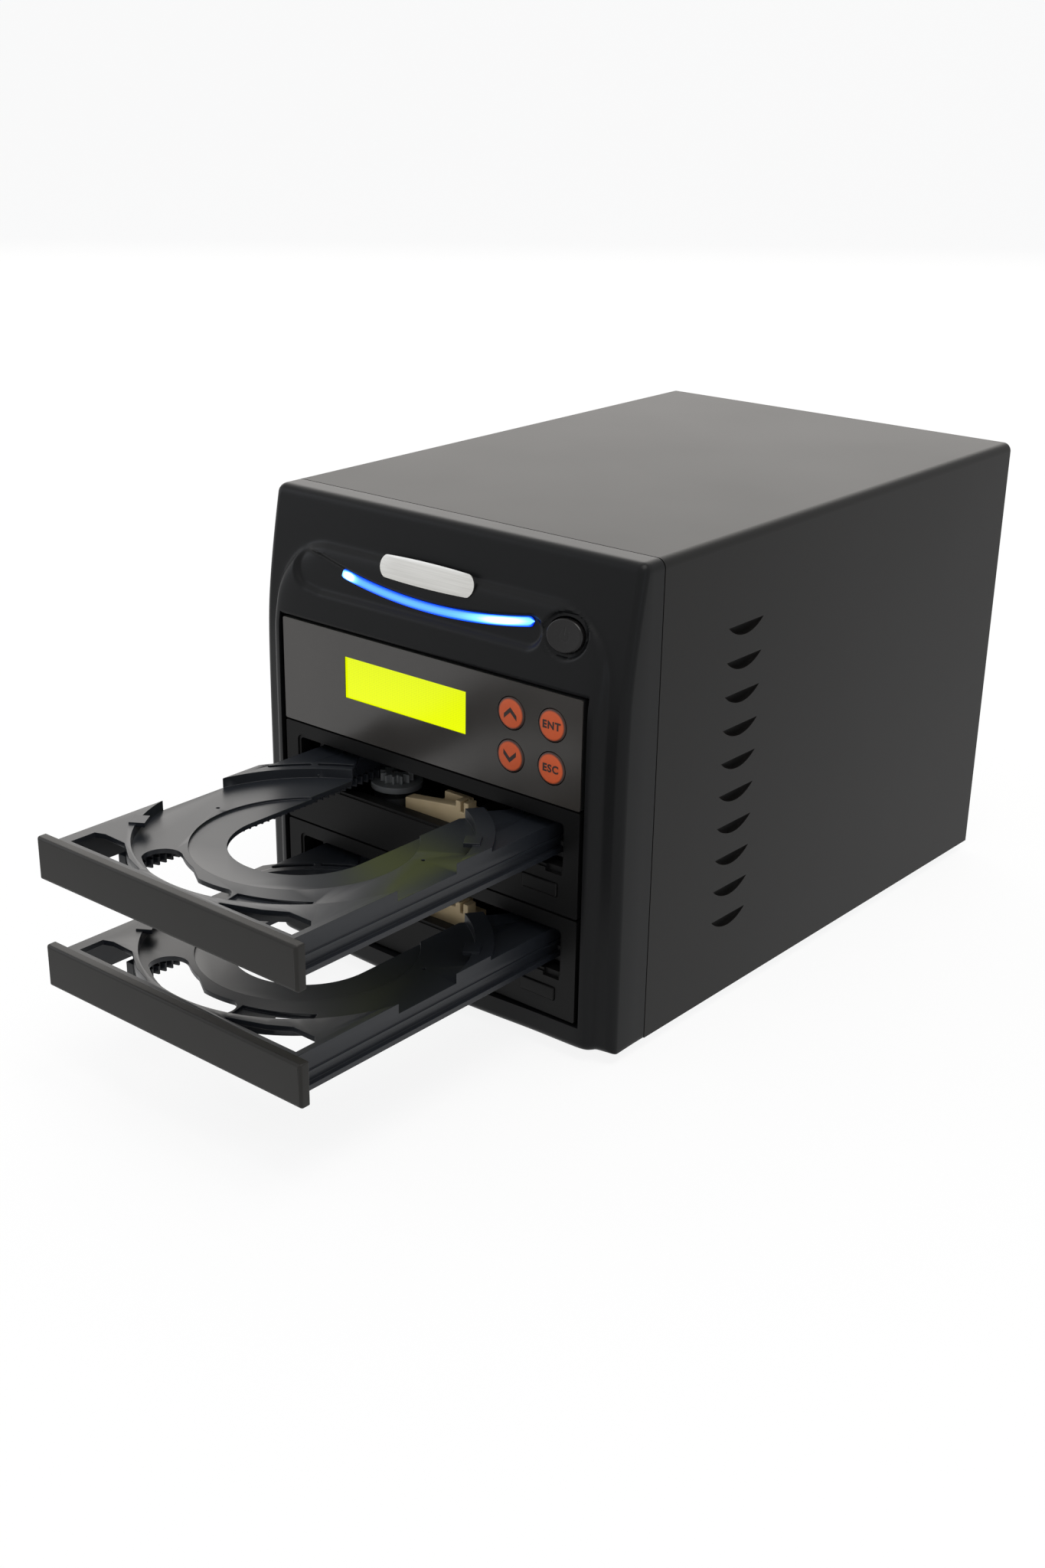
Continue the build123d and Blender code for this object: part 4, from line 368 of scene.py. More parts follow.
def printed_film(p):
    """Polycarbonate film, printed grey-brown from behind: glossy, lifted a little round the keys."""
    material, tree, shader, coords = new_material("printed_film")
    shade(shader, p.film_colour, 0.24, ior=1.58)
    mottled(tree, shader, coords, p.film_colour, "#35322e", 40.0, 0.20, 0.28)
    # Long waves of the glued film, about 22 mm from crest to crest
    stretch = put(tree, "ShaderNodeMapping", {"Scale": (1.0, 1.0, 0.55)}, {"Vector": coords})
    waves = put(tree, "ShaderNodeTexNoise", {"Scale": 45.0, "Detail": 1.0},
                {"Vector": stretch.outputs["Vector"]})
    bump = put(tree, "ShaderNodeBump", {"Strength": 0.5, "Distance": 0.0006},
               {"Height": waves.outputs["Fac"]})
    grain(tree, shader, coords, 0.3, 0.002, base=bump.outputs["Normal"])
    return material


def lit_display(p):
    """Lit glass of the character display: yellow-green with its fine dot matrix, its glow a little weaker
    towards the top as painted shade.
    """
    material, tree, shader, coords = new_material("lit_display")
    shade(shader, "#2c3000", 0.22, ior=1.30)
    # Dots 0.7 mm apart with 0.06 mm between them
    dots = put(tree, "ShaderNodeTexBrick", {"Scale": 1.0, "Brick Width": 0.0007, "Row Height": 0.0007,
                                            "Mortar Size": 0.00006, "offset": 0.0})
    turn = put(tree, "ShaderNodeMapping", {"Rotation": (math.radians(90), 0, 0)}, {"Vector": coords})
    tree.links.new(turn.outputs["Vector"], dots.inputs["Vector"])
    dots.inputs["Color1"].default_value = linear(p.display_colour)
    dots.inputs["Color2"].default_value = linear(p.display_colour)
    dots.inputs["Mortar"].default_value = linear("#d8e600")
    low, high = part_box("display_glass")
    split = put(tree, "ShaderNodeSeparateXYZ", None, {"Vector": coords})
    # Painted shade: the glow falls from 1.05 at the bottom to 0.95 at the top, so the top edge reads as
    # shaded
    painted_top_shade = put(tree, "ShaderNodeMapRange",
               {"From Min": low.z, "From Max": high.z, "To Min": 1.05, "To Max": 0.95},
               {"Value": split.outputs["Z"]})
    tree.links.new(dots.outputs["Color"], shader.inputs["Emission Color"])
    tree.links.new(painted_top_shade.outputs["Result"], shader.inputs["Emission Strength"])
    return material


def glowing_acrylic(p):
    """Edge-lit clear acrylic: deep blue at its rim, nearly white along the core and over the lamps."""
    material, tree, shader, coords = new_material("glowing_acrylic")
    shade(shader, "#0618a0", 0.20, ior=1.49)
    core = put(tree, "ShaderNodeAttribute", {"attribute_name": "core"})
    ramp = put(tree, "ShaderNodeValToRGB", None, {"Fac": core.outputs["Fac"]})
    ramp.color_ramp.elements[0].position = 0.0
    ramp.color_ramp.elements[0].color = linear("#001cd6")
    ramp.color_ramp.elements[1].position = 1.0
    ramp.color_ramp.elements[1].color = linear("#ffffff")
    middle = ramp.color_ramp.elements.new(0.50)
    middle.color = linear("#1460ff")
    near = ramp.color_ramp.elements.new(0.78)
    near.color = linear("#74ccff")
    glow = put(tree, "ShaderNodeMapRange", {"To Min": 1.25, "To Max": 1.9}, {"Value": core.outputs["Fac"]})
    tree.links.new(ramp.outputs["Color"], shader.inputs["Emission Color"])
    tree.links.new(glow.outputs["Result"], shader.inputs["Emission Strength"])
    return material


def key_rubber(name, centre, p):
    """Orange silicone key, dark from the start of its rolled rim outwards."""
    material, tree, shader, coords = new_material(name)
    shade(shader, p.key_colour, 0.50, ior=1.45)
    from_centre = put(tree, "ShaderNodeVectorMath", {"operation": "SUBTRACT"}, {0: coords})
    from_centre.inputs[1].default_value = centre
    flat = put(tree, "ShaderNodeVectorMath", {"operation": "MULTIPLY"}, {0: from_centre.outputs["Vector"]})
    flat.inputs[1].default_value = (1.0, 0.0, 1.0)
    radius = put(tree, "ShaderNodeVectorMath", {"operation": "LENGTH"}, {0: flat.outputs["Vector"]})
    # Dark brown from 5.0 mm out, fully dark from 5.7 mm over the rolled rim, the sides and the flange
    ring = put(tree, "ShaderNodeMapRange", {"From Min": 0.0050, "From Max": 0.0057},
               {"Value": radius.outputs["Value"]})
    fine = put(tree, "ShaderNodeTexNoise", {"Scale": 700.0, "Detail": 2.0}, {"Vector": coords})
    tint = put(tree, "ShaderNodeMapRange", {"To Min": 0.0, "To Max": 0.25}, {"Value": fine.outputs["Fac"]})
    body = blend_colours(tree, tint.outputs["Result"], p.key_colour, "#a8431e")
    edge = put(tree, "ShaderNodeMix", {"data_type": "RGBA"}, {"Factor": ring.outputs["Result"]})
    colours = [s for s in edge.inputs if s.type == "RGBA"]
    tree.links.new(body, colours[0])
    colours[1].default_value = linear("#2a1a14")
    tree.links.new([o for o in edge.outputs if o.type == "RGBA"][0], shader.inputs["Base Color"])
    grain(tree, shader, coords, 0.4, 0.006)
    return material


def blend_colours(tree, factor, first, second):
    """The output of a mix between two hex colours by a factor."""
    mix = put(tree, "ShaderNodeMix", {"data_type": "RGBA"}, {"Factor": factor})
    colours = [s for s in mix.inputs if s.type == "RGBA"]
    colours[0].default_value = linear(first)
    colours[1].default_value = linear(second)
    return [o for o in mix.outputs if o.type == "RGBA"][0]


def plain(name, dark, light, rough, metal=0.0, ior=1.5, cell=12.0, fine=0.5, depth=0.004):
    """A moulded, plated or cast finish: slow mottling and fine grain in one colour family."""
    material, tree, shader, coords = new_material(name)
    shade(shader, dark, rough, metal, ior)
    mottled(tree, shader, coords, dark, light, cell, rough * 0.9, min(1.0, rough * 1.1))
    grain(tree, shader, coords, fine, depth)
    return material


def satin_badge(p):
    """Satin anodised aluminium: fine lines along its length."""
    material, tree, shader, coords = new_material("satin_anodised_badge")
    shade(shader, "#c9c8c4", 0.34, 1.0)
    stretch = put(tree, "ShaderNodeMapping", {"Scale": (40.0, 2500.0, 2500.0)}, {"Vector": coords})
    lines = put(tree, "ShaderNodeTexNoise", {"Scale": 1.0, "Detail": 2.0},
                {"Vector": stretch.outputs["Vector"]})
    rough = put(tree, "ShaderNodeMapRange", {"To Min": 0.26, "To Max": 0.42},
                {"Value": lines.outputs["Fac"]})
    tree.links.new(rough.outputs["Result"], shader.inputs["Roughness"])
    tint = blend_colours(tree, lines.outputs["Fac"], "#b9b8b4", "#d8d7d3")
    tree.links.new(tint, shader.inputs["Base Color"])
    bump = put(tree, "ShaderNodeBump", {"Strength": 0.3, "Distance": 0.00001},
               {"Height": lines.outputs["Fac"]})
    tree.links.new(bump.outputs["Normal"], shader.inputs["Normal"])
    return material


# ------------------------------------------------------------------ bezel's surface
def soft_max(a, b, width):
    """The larger of two surfaces, with their meeting line rounded over about width."""
    return 0.5 * (a + b + np.sqrt((a - b) ** 2 + width ** 2))


def soft_min(a, b, width):
    """The smaller of two surfaces, rounded over in the same way."""
    return -soft_max(-a, -b, width)


def step(t):
    """Smooth 0 to 1 ramp over t from 0 to 1."""
    t = np.clip(t, 0, 1)
    return t * t * (3 - 2 * t)


def rounded_box_distance(x, z, half_w, low, high, radius):
    """Distance to a rectangle with rounded corners, negative inside."""
    cx, cz = np.abs(x) - (half_w - radius), np.abs(z - (low + high) / 2) - ((high - low) / 2 - radius)
    outside = np.hypot(np.maximum(cx, 0), np.maximum(cz, 0))
    return outside + np.minimum(np.maximum(cx, cz), 0) - radius


def bezel_depth(x, z):
    """Depth of the bezel's face behind the faceplates' plane, mm.

    A frame, bowed in plan and swept back towards the top, meets a raised slab inside a soft arch.
    The slab is upright and then leans back 12 degrees. A dished slot and a dished ring are sunk in it.
    """
    bow = -3.4 + 8.0 * (x / HALF_W) ** 2
    rise = np.clip(z - 34.0, 0, None)
    sweep_r = ((TOP_Z - 34.0) ** 2 + 16.6 ** 2) / (2 * 16.6)
    sweep = -3.4 + sweep_r - np.sqrt(sweep_r ** 2 - rise ** 2)
    frame_face = soft_max(bow, sweep, 2.0) - 0.3
    above = z - LEAN_Z
    slab = -0.8 + math.tan(LEAN) * soft_max(above, 0 * above, 3.0)
    arch = rounded_box_distance(x, z, 80.0, -60.0, TOP_Z - 18.5, 24.0)
    skirt = 2.475 * soft_max(arch, 0 * arch, 1.6)
    face = soft_min(frame_face, slab + skirt, 0.9)
    # Dished slot that the light bar lies in: a capsule whose height grows to the left
    v = (z - LEAN_Z) / math.cos(LEAN)
    v_top = 22.9 + BAR_SAG * (x / BAR_HALF) ** 2
    v_low = 15.0
    middle = (v_top + v_low) / 2
    nearest = np.clip(x, -71.5 + 7.0, 51.0 - 5.0)
    half_at = np.clip((22.9 + BAR_SAG * (nearest / BAR_HALF) ** 2 - v_low) / 2, 2.0, 7.5)
    sdf = np.hypot(x - nearest, v - middle) - half_at
    face = face + 1.9 * step(-sdf / 2.6 + 0.25)
    # Dished ring round the power button
    ring = (np.hypot((x - BUTTON_X) / 10.2, (v - BUTTON_V) / 8.3) - 1) * 9.2
    face = face + 1.5 * step(-ring / 1.3 + 0.3)
    return face


def rounded_outline(half_w, low, high, radius_top, radius_low, across, up):
    """Points round a rectangle with rounded corners, in X and Z, starting at the middle of the bottom."""
    def side(count):
        return np.linspace(0, 1, count, endpoint=False)
    s, u = side(across), side(up)
    # Sides as straight runs first, then pulled in at the corners
    bottom = np.stack([half_w * (2 * s - 1), np.full(across, low)], -1)
    right = np.stack([np.full(up, half_w), low + (high - low) * u], -1)
    top = np.stack([half_w * (1 - 2 * s), np.full(across, high)], -1)
    left = np.stack([np.full(up, -half_w), high - (high - low) * u], -1)
    pts = np.concatenate([bottom, right, top, left])
    for sx in (-1, 1):
        for edge, radius in ((high, radius_top), (low, radius_low)):
            if radius <= 0:
                continue
            sz = 1 if edge == high else -1
            cx, cz = sx * (half_w - radius), edge - sz * radius
            dx, dz = (pts[:, 0] - cx) * sx, (pts[:, 1] - cz) * sz
            corner = (dx > -1e-9) & (dz > -1e-9)
            # A point at (1, t) or (t, 1) of the corner square goes to the angle t * 45 degrees of its arc
            t = np.where(dx >= dz, dz, 2 * radius - dx)[corner] / radius
            angle = t * math.pi / 4
            pts[corner, 0] = cx + sx * radius * np.cos(angle)
            pts[corner, 1] = cz + sz * radius * np.sin(angle)
    return pts


def build_bezel(p):
    """Front moulding: rings from the back edge, over the rounded rim, across the face and into the window."""
    abs_plastic = moulded_abs(p)
    across, up = 250, 210
    rim = 3.2
    window = rounded_outline(76.3, 13.4, 141.5, 0.0, 0.0, across, up)
    rings = []
    outer = rounded_outline(HALF_W, FLOOR_Z, TOP_Z, 3.5, 0.8, across, up)
    back = (SEAM_Y - FACE_Y) * 1000 - 0.5
    for y in (back, back - 6.0):
        rings.append(np.stack([outer[:, 0], np.full(len(outer), y), outer[:, 1]], -1))
    for angle in np.linspace(0, math.pi / 2, 8):
        inset = rim * (1 - math.cos(angle))
        corner = max(3.5 - inset, 0.4)
        flat = rounded_outline(HALF_W - inset, FLOOR_Z + inset, TOP_Z - inset, corner, 0.4, across, up)
        y = bezel_depth(flat[:, 0], flat[:, 1]) + rim * (1 - math.sin(angle))
        rings.append(np.stack([flat[:, 0], y, flat[:, 1]], -1))
    start = rings[-1][:, [0, 2]]
    for f in np.linspace(0, 1, 62)[1:]:
        flat = start + (window - start) * f
        y = bezel_depth(flat[:, 0], flat[:, 1])
        if f > 0.999:
            y = y + 0.5
        rings.append(np.stack([flat[:, 0], y, flat[:, 1]], -1))
    inner = rings[-1].copy()
    inner[:, 1] = back
    rings.append(inner)
    verts = np.stack(rings)
    rows, cols = verts.shape[:2]
    faces = np.array(grid_faces(rows, cols, wrap=True))
    flat = verts.reshape(-1, 3)
    # Hole of the power button: faces inside its ellipse go, and the vertices left on the rim move onto it
    v = (flat[:, 2] - LEAN_Z) / math.cos(LEAN)
    e = np.hypot((flat[:, 0] - BUTTON_X) / 8.4, (v - BUTTON_V) / 6.5)
    front = flat[:, 1] < 20
    inside_face = (e[faces].mean(axis=1) < 1.0) & front[faces].all(axis=1)
    keep, gone = faces[~inside_face], faces[inside_face]
    rim_ids = np.intersect1d(np.unique(keep), np.unique(gone))
    scale = 1.0 / e[rim_ids]
    new_x = BUTTON_X + (flat[rim_ids, 0] - BUTTON_X) * scale
    new_v = BUTTON_V + (v[rim_ids] - BUTTON_V) * scale
    new_z = LEAN_Z + new_v * math.cos(LEAN)
    flat[rim_ids, 0], flat[rim_ids, 2] = new_x, new_z
    flat[rim_ids, 1] = bezel_depth(new_x, new_z)
    # Wall of that hole, straight back along the slab's normal
    order = rim_ids[np.argsort(np.arctan2(new_v - BUTTON_V, new_x - BUTTON_X))]
    depth = np.array([0.0, math.cos(LEAN) * 6.0, -math.sin(LEAN) * 6.0])
    wall_start = len(flat)
    flat = np.concatenate([flat, flat[order] + depth])
    n = len(order)
    i = np.arange(n)
    j = (i + 1) % n
    wall = np.stack([order[i], order[j], wall_start + j, wall_start + i], axis=-1)
    piece = add_piece("bezel_moulding", mm(flat), keep.tolist() + wall.tolist(), "tower",
                      abs_plastic, sharp=40)
    bm = bmesh.new()
    bm.from_mesh(piece.data)
    bmesh.ops.recalc_face_normals(bm, faces=bm.faces)
    bm.faces.ensure_lookup_table()
    facing = sum(f.normal.y * f.calc_area() for f in bm.faces if f.calc_center_median().y < FACE_Y + 0.012)
    if facing > 0:
        bmesh.ops.reverse_faces(bm, faces=bm.faces)
    bm.to_mesh(piece.data)
    bm.free()
    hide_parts("front_bezel")
    return piece


# --------------------------------------------------------------------- front pieces
def build_light_bar(p):
    """Curved bar: a rounded cross-section carried along a hanging parabola, closed by shrinking sections."""
    acrylic = glowing_acrylic(p)
    along, around = 90, 20
    s = np.linspace(-1, 1, along)
    x = BAR_HALF * s
    v = BAR_END_V - BAR_SAG * (1 - s ** 2)
    slope = np.arctan2(np.gradient(v), np.gradient(x))
    end = np.sqrt(np.clip(1 - np.clip((np.abs(s) - 0.955) / 0.045, 0, 1) ** 2, 0.0025, 1))
    a = np.linspace(0, 2 * math.pi, around, endpoint=False)
    # Super-ellipse 3.9 wide and 3.2 deep, centred 1.9 below the slab's face
    ca, sa = np.cos(a), np.sin(a)
    across = 1.95 * np.sign(ca) * np.abs(ca) ** 0.7
    out = 1.6 * np.sign(sa) * np.abs(sa) ** 0.7
    du = across[None, :] * end[:, None]
    X = x[:, None] - np.sin(slope)[:, None] * du
    V = v[:, None] + np.cos(slope)[:, None] * du
    N = -1.9 + out[None, :] * end[:, None]
    pts = on_lean(X, V, N)
    faces = grid_faces(along, around, wrap=True)
    faces += [list(range(around))[::-1], list(range((along - 1) * around, along * around))]
    piece = add_piece("light_bar_lens", mm(pts.reshape(-1, 3)), faces, "tower", acrylic)
    # How near each point is to the bright core: the front ridge, more so over the right-hand lamp
    ridge = np.clip(sa, 0, 1)[None, :] ** 1.2 * np.ones((along, 1))
    lamp = 0.62 + 0.36 * np.exp(-((s - 0.72) / 0.30) ** 2) + 0.50 * np.exp(-((s + 0.9) / 0.07) ** 2)
    core = np.clip(ridge * lamp[:, None], 0, 1)
    attribute = piece.data.attributes.new("core", "FLOAT", "POINT")
    attribute.data.foreach_set("value", core.reshape(-1).astype(np.float32))
    outwards(piece)
    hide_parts("light_bar")
    return piece


def build_power_button(p):
    """Oval cap: a polar grid whose height is a shallow dish inside a rolled rim, with its stem behind."""
    gloss = plain("smooth_black_cap", "#0e0d0d", "#131212", 0.26, ior=1.34, cell=9.0, fine=0.8, depth=0.003)
    rings, seg = 26, 72
    a = np.linspace(0, 2 * math.pi, seg, endpoint=False)[None, :]
    flat_rings = 18
    rolled = 0.88 + 0.12 * np.sin(np.linspace(0.1, 1, rings - flat_rings) * math.pi / 2)
    r = np.concatenate([np.linspace(0.0, 0.88, flat_rings), rolled])[:, None]
    drop = np.where(r < 0.88, 0.0, 1.3 * (1 - np.sqrt(np.clip(1 - ((r - 0.88) / 0.12) ** 2, 0, 1))))
    height = -0.35 - drop + 0.35 * (r ** 2)
    x = BUTTON_X + 8.1 * r * np.cos(a)
    v = BUTTON_V + 6.2 * r * np.sin(a)
    # A faint engraved ring open at the top, with a short bar in the opening
    rr = np.hypot(x - BUTTON_X, v - BUTTON_V)
    angle = np.abs(np.arctan2(x - BUTTON_X, v - BUTTON_V))
    mark = np.clip(1 - np.abs(rr - 2.1) / 0.28, 0, 1) * (angle > 0.55)
    up = v - BUTTON_V
    bar = np.clip(1 - np.abs(x - BUTTON_X) / 0.28, 0, 1) * (up > 0.6) * (up < 2.9)
    height = height - 0.10 * np.maximum(mark, bar)
    cap = on_lean(x, v, height)
    skirt = on_lean(BUTTON_X + 8.1 * np.cos(a), BUTTON_V + 6.2 * np.sin(a), -6.2 + 0 * a)
    pts = np.concatenate([cap, skirt])
    verts, faces = mm(pts.reshape(-1, 3)), grid_faces(rings + 1, seg, wrap=True)
    faces.append(list(range(rings * seg, (rings + 1) * seg)))
    stem_seg = 24
    stem_a = np.linspace(0, 2 * math.pi, stem_seg, endpoint=False)[None, :]
    stem_ends = np.array([[-6.0], [-12.2]])
    stem = on_lean(BUTTON_X + 2.5 * np.cos(stem_a), BUTTON_V + 2.5 * np.sin(stem_a), stem_ends + 0 * stem_a)
    stem_faces = grid_faces(2, stem_seg, wrap=True)
    stem_faces += [list(range(stem_seg))[::-1], list(range(stem_seg, 2 * stem_seg))]
    verts, faces = joined([(verts, faces), (mm(stem.reshape(-1, 3)), stem_faces)])
    piece = add_piece("power_cap_oval", verts, faces, "power_cap", gloss)
    outwards(piece)
    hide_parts("power_button")
    return piece


def build_badge(p):
    """Plain plate in the badge's place: a capsule with a crowned face and a rolled edge."""
    metal = satin_badge(p)
    seg, rings = 96, 10
    a = np.linspace(0, 2 * math.pi, seg, endpoint=False)[None, :]
    r = np.linspace(0, 1, rings)[:, None]
    half, end = 23.0 - 4.75, 4.75
    ca = np.cos(a)
    straight = np.clip(ca * 40, -1, 1) * half * np.minimum(1, np.abs(ca) * 2.2)
    x = -4.0 + r * (straight + end * ca)
    v = 32.0 + r * end * np.sin(a)
    n = 0.42 - 0.10 * r ** 2 - 0.22 * step((r - 0.82) / 0.18)
    face = on_lean(x, v, n + 0 * a)
    edge = on_lean(x[-1:], v[-1:], -0.4 + 0 * a)
    pts = np.concatenate([face, edge])
    faces = grid_faces(rings + 1, seg, wrap=True)
    faces.append(list(range(rings * seg, (rings + 1) * seg)))
    piece = add_piece("badge_capsule", mm(pts.reshape(-1, 3)), faces, "tower", metal)
    outwards(piece)
    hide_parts("badge_plate")
    return piece


KEY_BODIES = {"key_up": "up_cap", "key_down": "down_cap",
              "key_enter": "enter_cap", "key_escape": "escape_cap"}


def build_keys(p):
    """Four domed keys, with arrow and word legends as thin raised print on them."""
    print_ink = plain("legend_ink", "#1d1210", "#241714", 0.60, cell=3.0, fine=0.3, depth=0.002)
    for node, body in KEY_BODIES.items():
        low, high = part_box(node)
        cx, cz = (low.x + high.x) / 2 * 1000, (low.z + high.z) / 2 * 1000
        front = (low.y - FACE_Y) * 1000
        orange = key_rubber("orange_silicone_" + node, (cx / 1000, 0.0, cz / 1000), p)
        # Dome: flat in the middle, rolled off to the rim, with the flange and stem behind
        r = np.array([0.0, 2.0, 3.6, 4.6, 5.2, 5.6, 5.9, 6.05, 6.1, 6.1])
        h = np.array([0.0, 0.01, 0.05, 0.10, 0.18, 0.29, 0.45, 0.7, 1.0, 4.2])
        profile = list(zip(r, front + h)) + [(7.3, 3.8), (7.3, 4.8), (2.0, 4.8), (2.0, 6.1), (0.0, 6.1)]
        verts, faces = lathe(profile, 56, (cx, 0.0, cz))
        piece = add_piece(node + "_dome", verts, faces, body, orange)
        outwards(piece)
        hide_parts(node)
        if node in ("key_up", "key_down"):
            sign = 1 if node == "key_up" else -1
            outline = np.array([(-2.9, -0.9), (0.0, 1.9), (2.9, -0.9),
                                (2.9, -2.7), (0.0, 0.0), (-2.9, -2.7)])
            outline = outline + [0, 0.5]
            outline = outline * [1, sign] + [cx, cz]
            if sign < 0:
                outline = outline[::-1]
            verts, faces = prism(outline, front - 0.05, front + 0.15)
            legend = add_piece(node + "_arrow", verts, faces, body, print_ink)
            outwards(legend)
        else:
            word = "ENT" if node == "key_enter" else "ESC"
            curve = bpy.data.curves.new(node + "_word", "FONT")
            curve.body = word
            curve.align_x, curve.align_y = "CENTER", "CENTER"
            curve.size = 0.0040
            curve.offset = 0.00013
            curve.extrude = 0.00008
            curve.space_character = 1.14
            text = bpy.data.objects.new(node + "_word_curve", curve)
            bpy.context.scene.collection.objects.link(text)
            bpy.context.view_layer.update()
            mesh = bpy.data.meshes.new_from_object(text.evaluated_get(bpy.context.evaluated_depsgraph_get()))
            bpy.data.objects.remove(text)
            bpy.data.curves.remove(curve)
            place = Matrix.Translation((cx / 1000, FACE_Y + front / 1000, cz / 1000))
            mesh.transform(place @ Matrix.Rotation(math.radians(90), 4, "X"))
            mesh.materials.clear()
            mesh.materials.append(print_ink)
            legend = bpy.data.objects.new(node + "_word", mesh)
            bpy.context.scene.collection.objects.link(legend)
            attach(legend, body)


# -------------------------------------------------------------------------- drives
def build_trays(p):
    """Trays, their fronts and what shows inside the drives' openings."""
    styrene = polystyrene(p)
    bar = polished_front(p)
    face = faceplate_abs(p)
    acetal = plain("grey_acetal", "#5d5f60", "#6c6e6e", 0.42, ior=1.48, cell=8.0)
    beige = plain("natural_acetal", "#b7a27c", "#c4b08b", 0.46, ior=1.48, cell=6.0)
    black = plain("black_glass_filled_nylon", "#121213", "#191a1b", 0.55, cell=6.0, fine=0.5, depth=0.008)
    for d in ("upper", "lower"):
        softened(d + "_disc_tray", 0.13, styrene, angle=30.0, clamp=False)
        softened(d + "_tray_front", 0.45, bar, segments=3)
        softened(d + "_drive_plate", 0.35, face)
        softened(d + "_eject_button", 0.25, face)
        softened(d + "_tray_gear", 0.25, acetal, angle=40.0)
        softened(d + "_cam_slider", 0.4, beige)
        dress(d + "_loader_frame", black)
        dress(d + "_sled", black)
        softened(d + "_turntable", 0.25, black, angle=40.0)
        softened(d + "_pickup", 0.3, acetal)
        softened(d + "_clamper", 0.25, acetal, angle=40.0)


# ------------------------------------------------------------------------ the rear
FAN_SCREW = 35.75                                  # half the 71.5 mm screw spacing of an 80 mm fan
WIRE_R = 0.74
GRILLE_EYE = 1.55                                  # how far a screw's head stands off on the grille's eye


def build_rear(p):
    """Wire grille, curved fan blades, inlet, rocker, screws and feet."""
    wire = plain("plated_wire", "#b9bbbd", "#c9cbcc", 0.22, 1.0, cell=5.0, fine=0.3, depth=0.002)
    black = plain("fan_nylon", "#101011", "#161617", 0.50, cell=8.0)
    zinc = plain("zinc_plated_screws", "#8f9296", "#a5a8ab", 0.34, 1.0, cell=2.0, fine=0.2, depth=0.003)
    rubber = plain("soft_rubber_feet", "#0e0e0e", "#161616", 0.78, cell=4.0, fine=0.5, depth=0.015)
    low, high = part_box("exhaust_fan_frame")
    fan_z = (low.z + high.z) / 2 * 1000
    back = (BACK_Y - FACE_Y) * 1000
    panel = back - 1.0
    parts = []
    a = np.linspace(0, 2 * math.pi, 96, endpoint=False)
    for r in (9, 17, 25, 33):
        path = np.stack([r * np.cos(a), np.full(96, back + 1.62), fan_z + r * np.sin(a)], -1)
        parts.append(tube(path, WIRE_R, 10, closed=True))
    reach = FAN_SCREW * math.sqrt(2) - 2.6
    for turn in (math.pi / 4, -math.pi / 4):
        t = np.linspace(-reach, reach, 12)
        path = np.stack([t * math.cos(turn), np.full(12, back + 0.85), fan_z + t * math.sin(turn)], -1)
        parts.append(tube(path, WIRE_R, 10))
    small = np.linspace(0, 2 * math.pi, 28, endpoint=False)
    for sx in (-1, 1):
        for sz in (-1, 1):
            x = sx * FAN_SCREW + 2.9 * np.cos(small)
            z = fan_z + sz * FAN_SCREW + 2.9 * np.sin(small)
            path = np.stack([x, np.full(28, back + 0.80), z], -1)
            parts.append(tube(path, WIRE_R, 8, closed=True))
    verts, faces = joined(parts)
    grille = add_piece("wire_grille", verts, faces, "tower", wire)
    outwards(grille)
    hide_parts("fan_grille")

    def blades(count, r0, r1, y_mid, half_depth, sweep, pitch):
        """Cambered blades, 1.1 mm thick: a surface over radius and chord, its pitch easing outwards."""
        out = []
        rr = np.linspace(r0, r1, 10)[:, None]
        cc = np.linspace(-1, 1, 10)[None, :]
        for i in range(count):
            base = 2 * math.pi * i / count
            camber = 1.4 * (1 - cc ** 2)
            y = y_mid + half_depth * cc + camber * 0.4
            angle = base + (pitch * cc * half_depth + camber) / rr + sweep * (rr - r0) / (r1 - r0)
            top = np.stack([rr * np.cos(angle), y + 0 * rr, rr * np.sin(angle)], -1)
            turned = angle + 1.1 / rr
            under = np.stack([rr * np.cos(turned), y + 0 * rr, rr * np.sin(turned)], -1)
            pts = np.stack([top, under])
            n = 100
            faces = grid_faces(10, 10) + [q[::-1] for q in grid_faces(10, 10, start=n)]
            ids = np.arange(100).reshape(10, 10)
            edge = np.concatenate([ids[0, :], ids[1:, -1], ids[-1, -2::-1], ids[-2:0:-1, 0]])
            nxt = np.roll(edge, -1)
            faces += np.stack([edge, nxt, nxt + n, edge + n], -1).tolist()
            out.append((pts.reshape(-1, 3), faces))
        return out

    hub_profile = [(0.0, panel - 23.0), (15.5, panel - 23.0), (17.0, panel - 22.4), (17.5, panel - 21.0),
                   (17.5, panel - 4.2), (17.2, panel - 4.0), (2.1, panel - 4.0), (2.1, panel - 14.4),
                   (0.0, panel - 14.4)]
    parts = [lathe(hub_profile, 48, (0, 0, fan_z))]
    for pts, faces in blades(7, 17.0, 36.3, panel - 14.0, 6.8, 0.25, 1.15):
        parts.append((mm(pts + [0, 0, fan_z]), faces))
    verts, faces = joined(parts)
    rotor = add_piece("exhaust_rotor_blades", verts, faces, "exhaust_rotor", black)
    outwards(rotor)
    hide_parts("exhaust_fan_rotor")

    low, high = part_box("psu_fan_rotor")
    cy = ((low.y + high.y) / 2 - FACE_Y) * 1000
    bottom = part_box("psu_case")[0].z * 1000
    profile = [(0.0, 3.0), (13.6, 3.0), (15.0, 4.2), (15.0, 13.0), (0.0, 13.0)]
    verts, faces = lathe(profile, 40, (0, cy, bottom), axis="Z")
    parts = [(verts, faces)]
    for pts, faces in blades(7, 14.6, 33.6, 8.0, 4.2, 0.2, 1.2):
        parts.append((mm(pts[..., [0, 2, 1]] + [0, cy, bottom]), faces))
    verts, faces = joined(parts)
    rotor = add_piece("supply_rotor_blades", verts, faces, "psu_rotor", black)
    outwards(rotor)
    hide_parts("psu_fan_rotor")

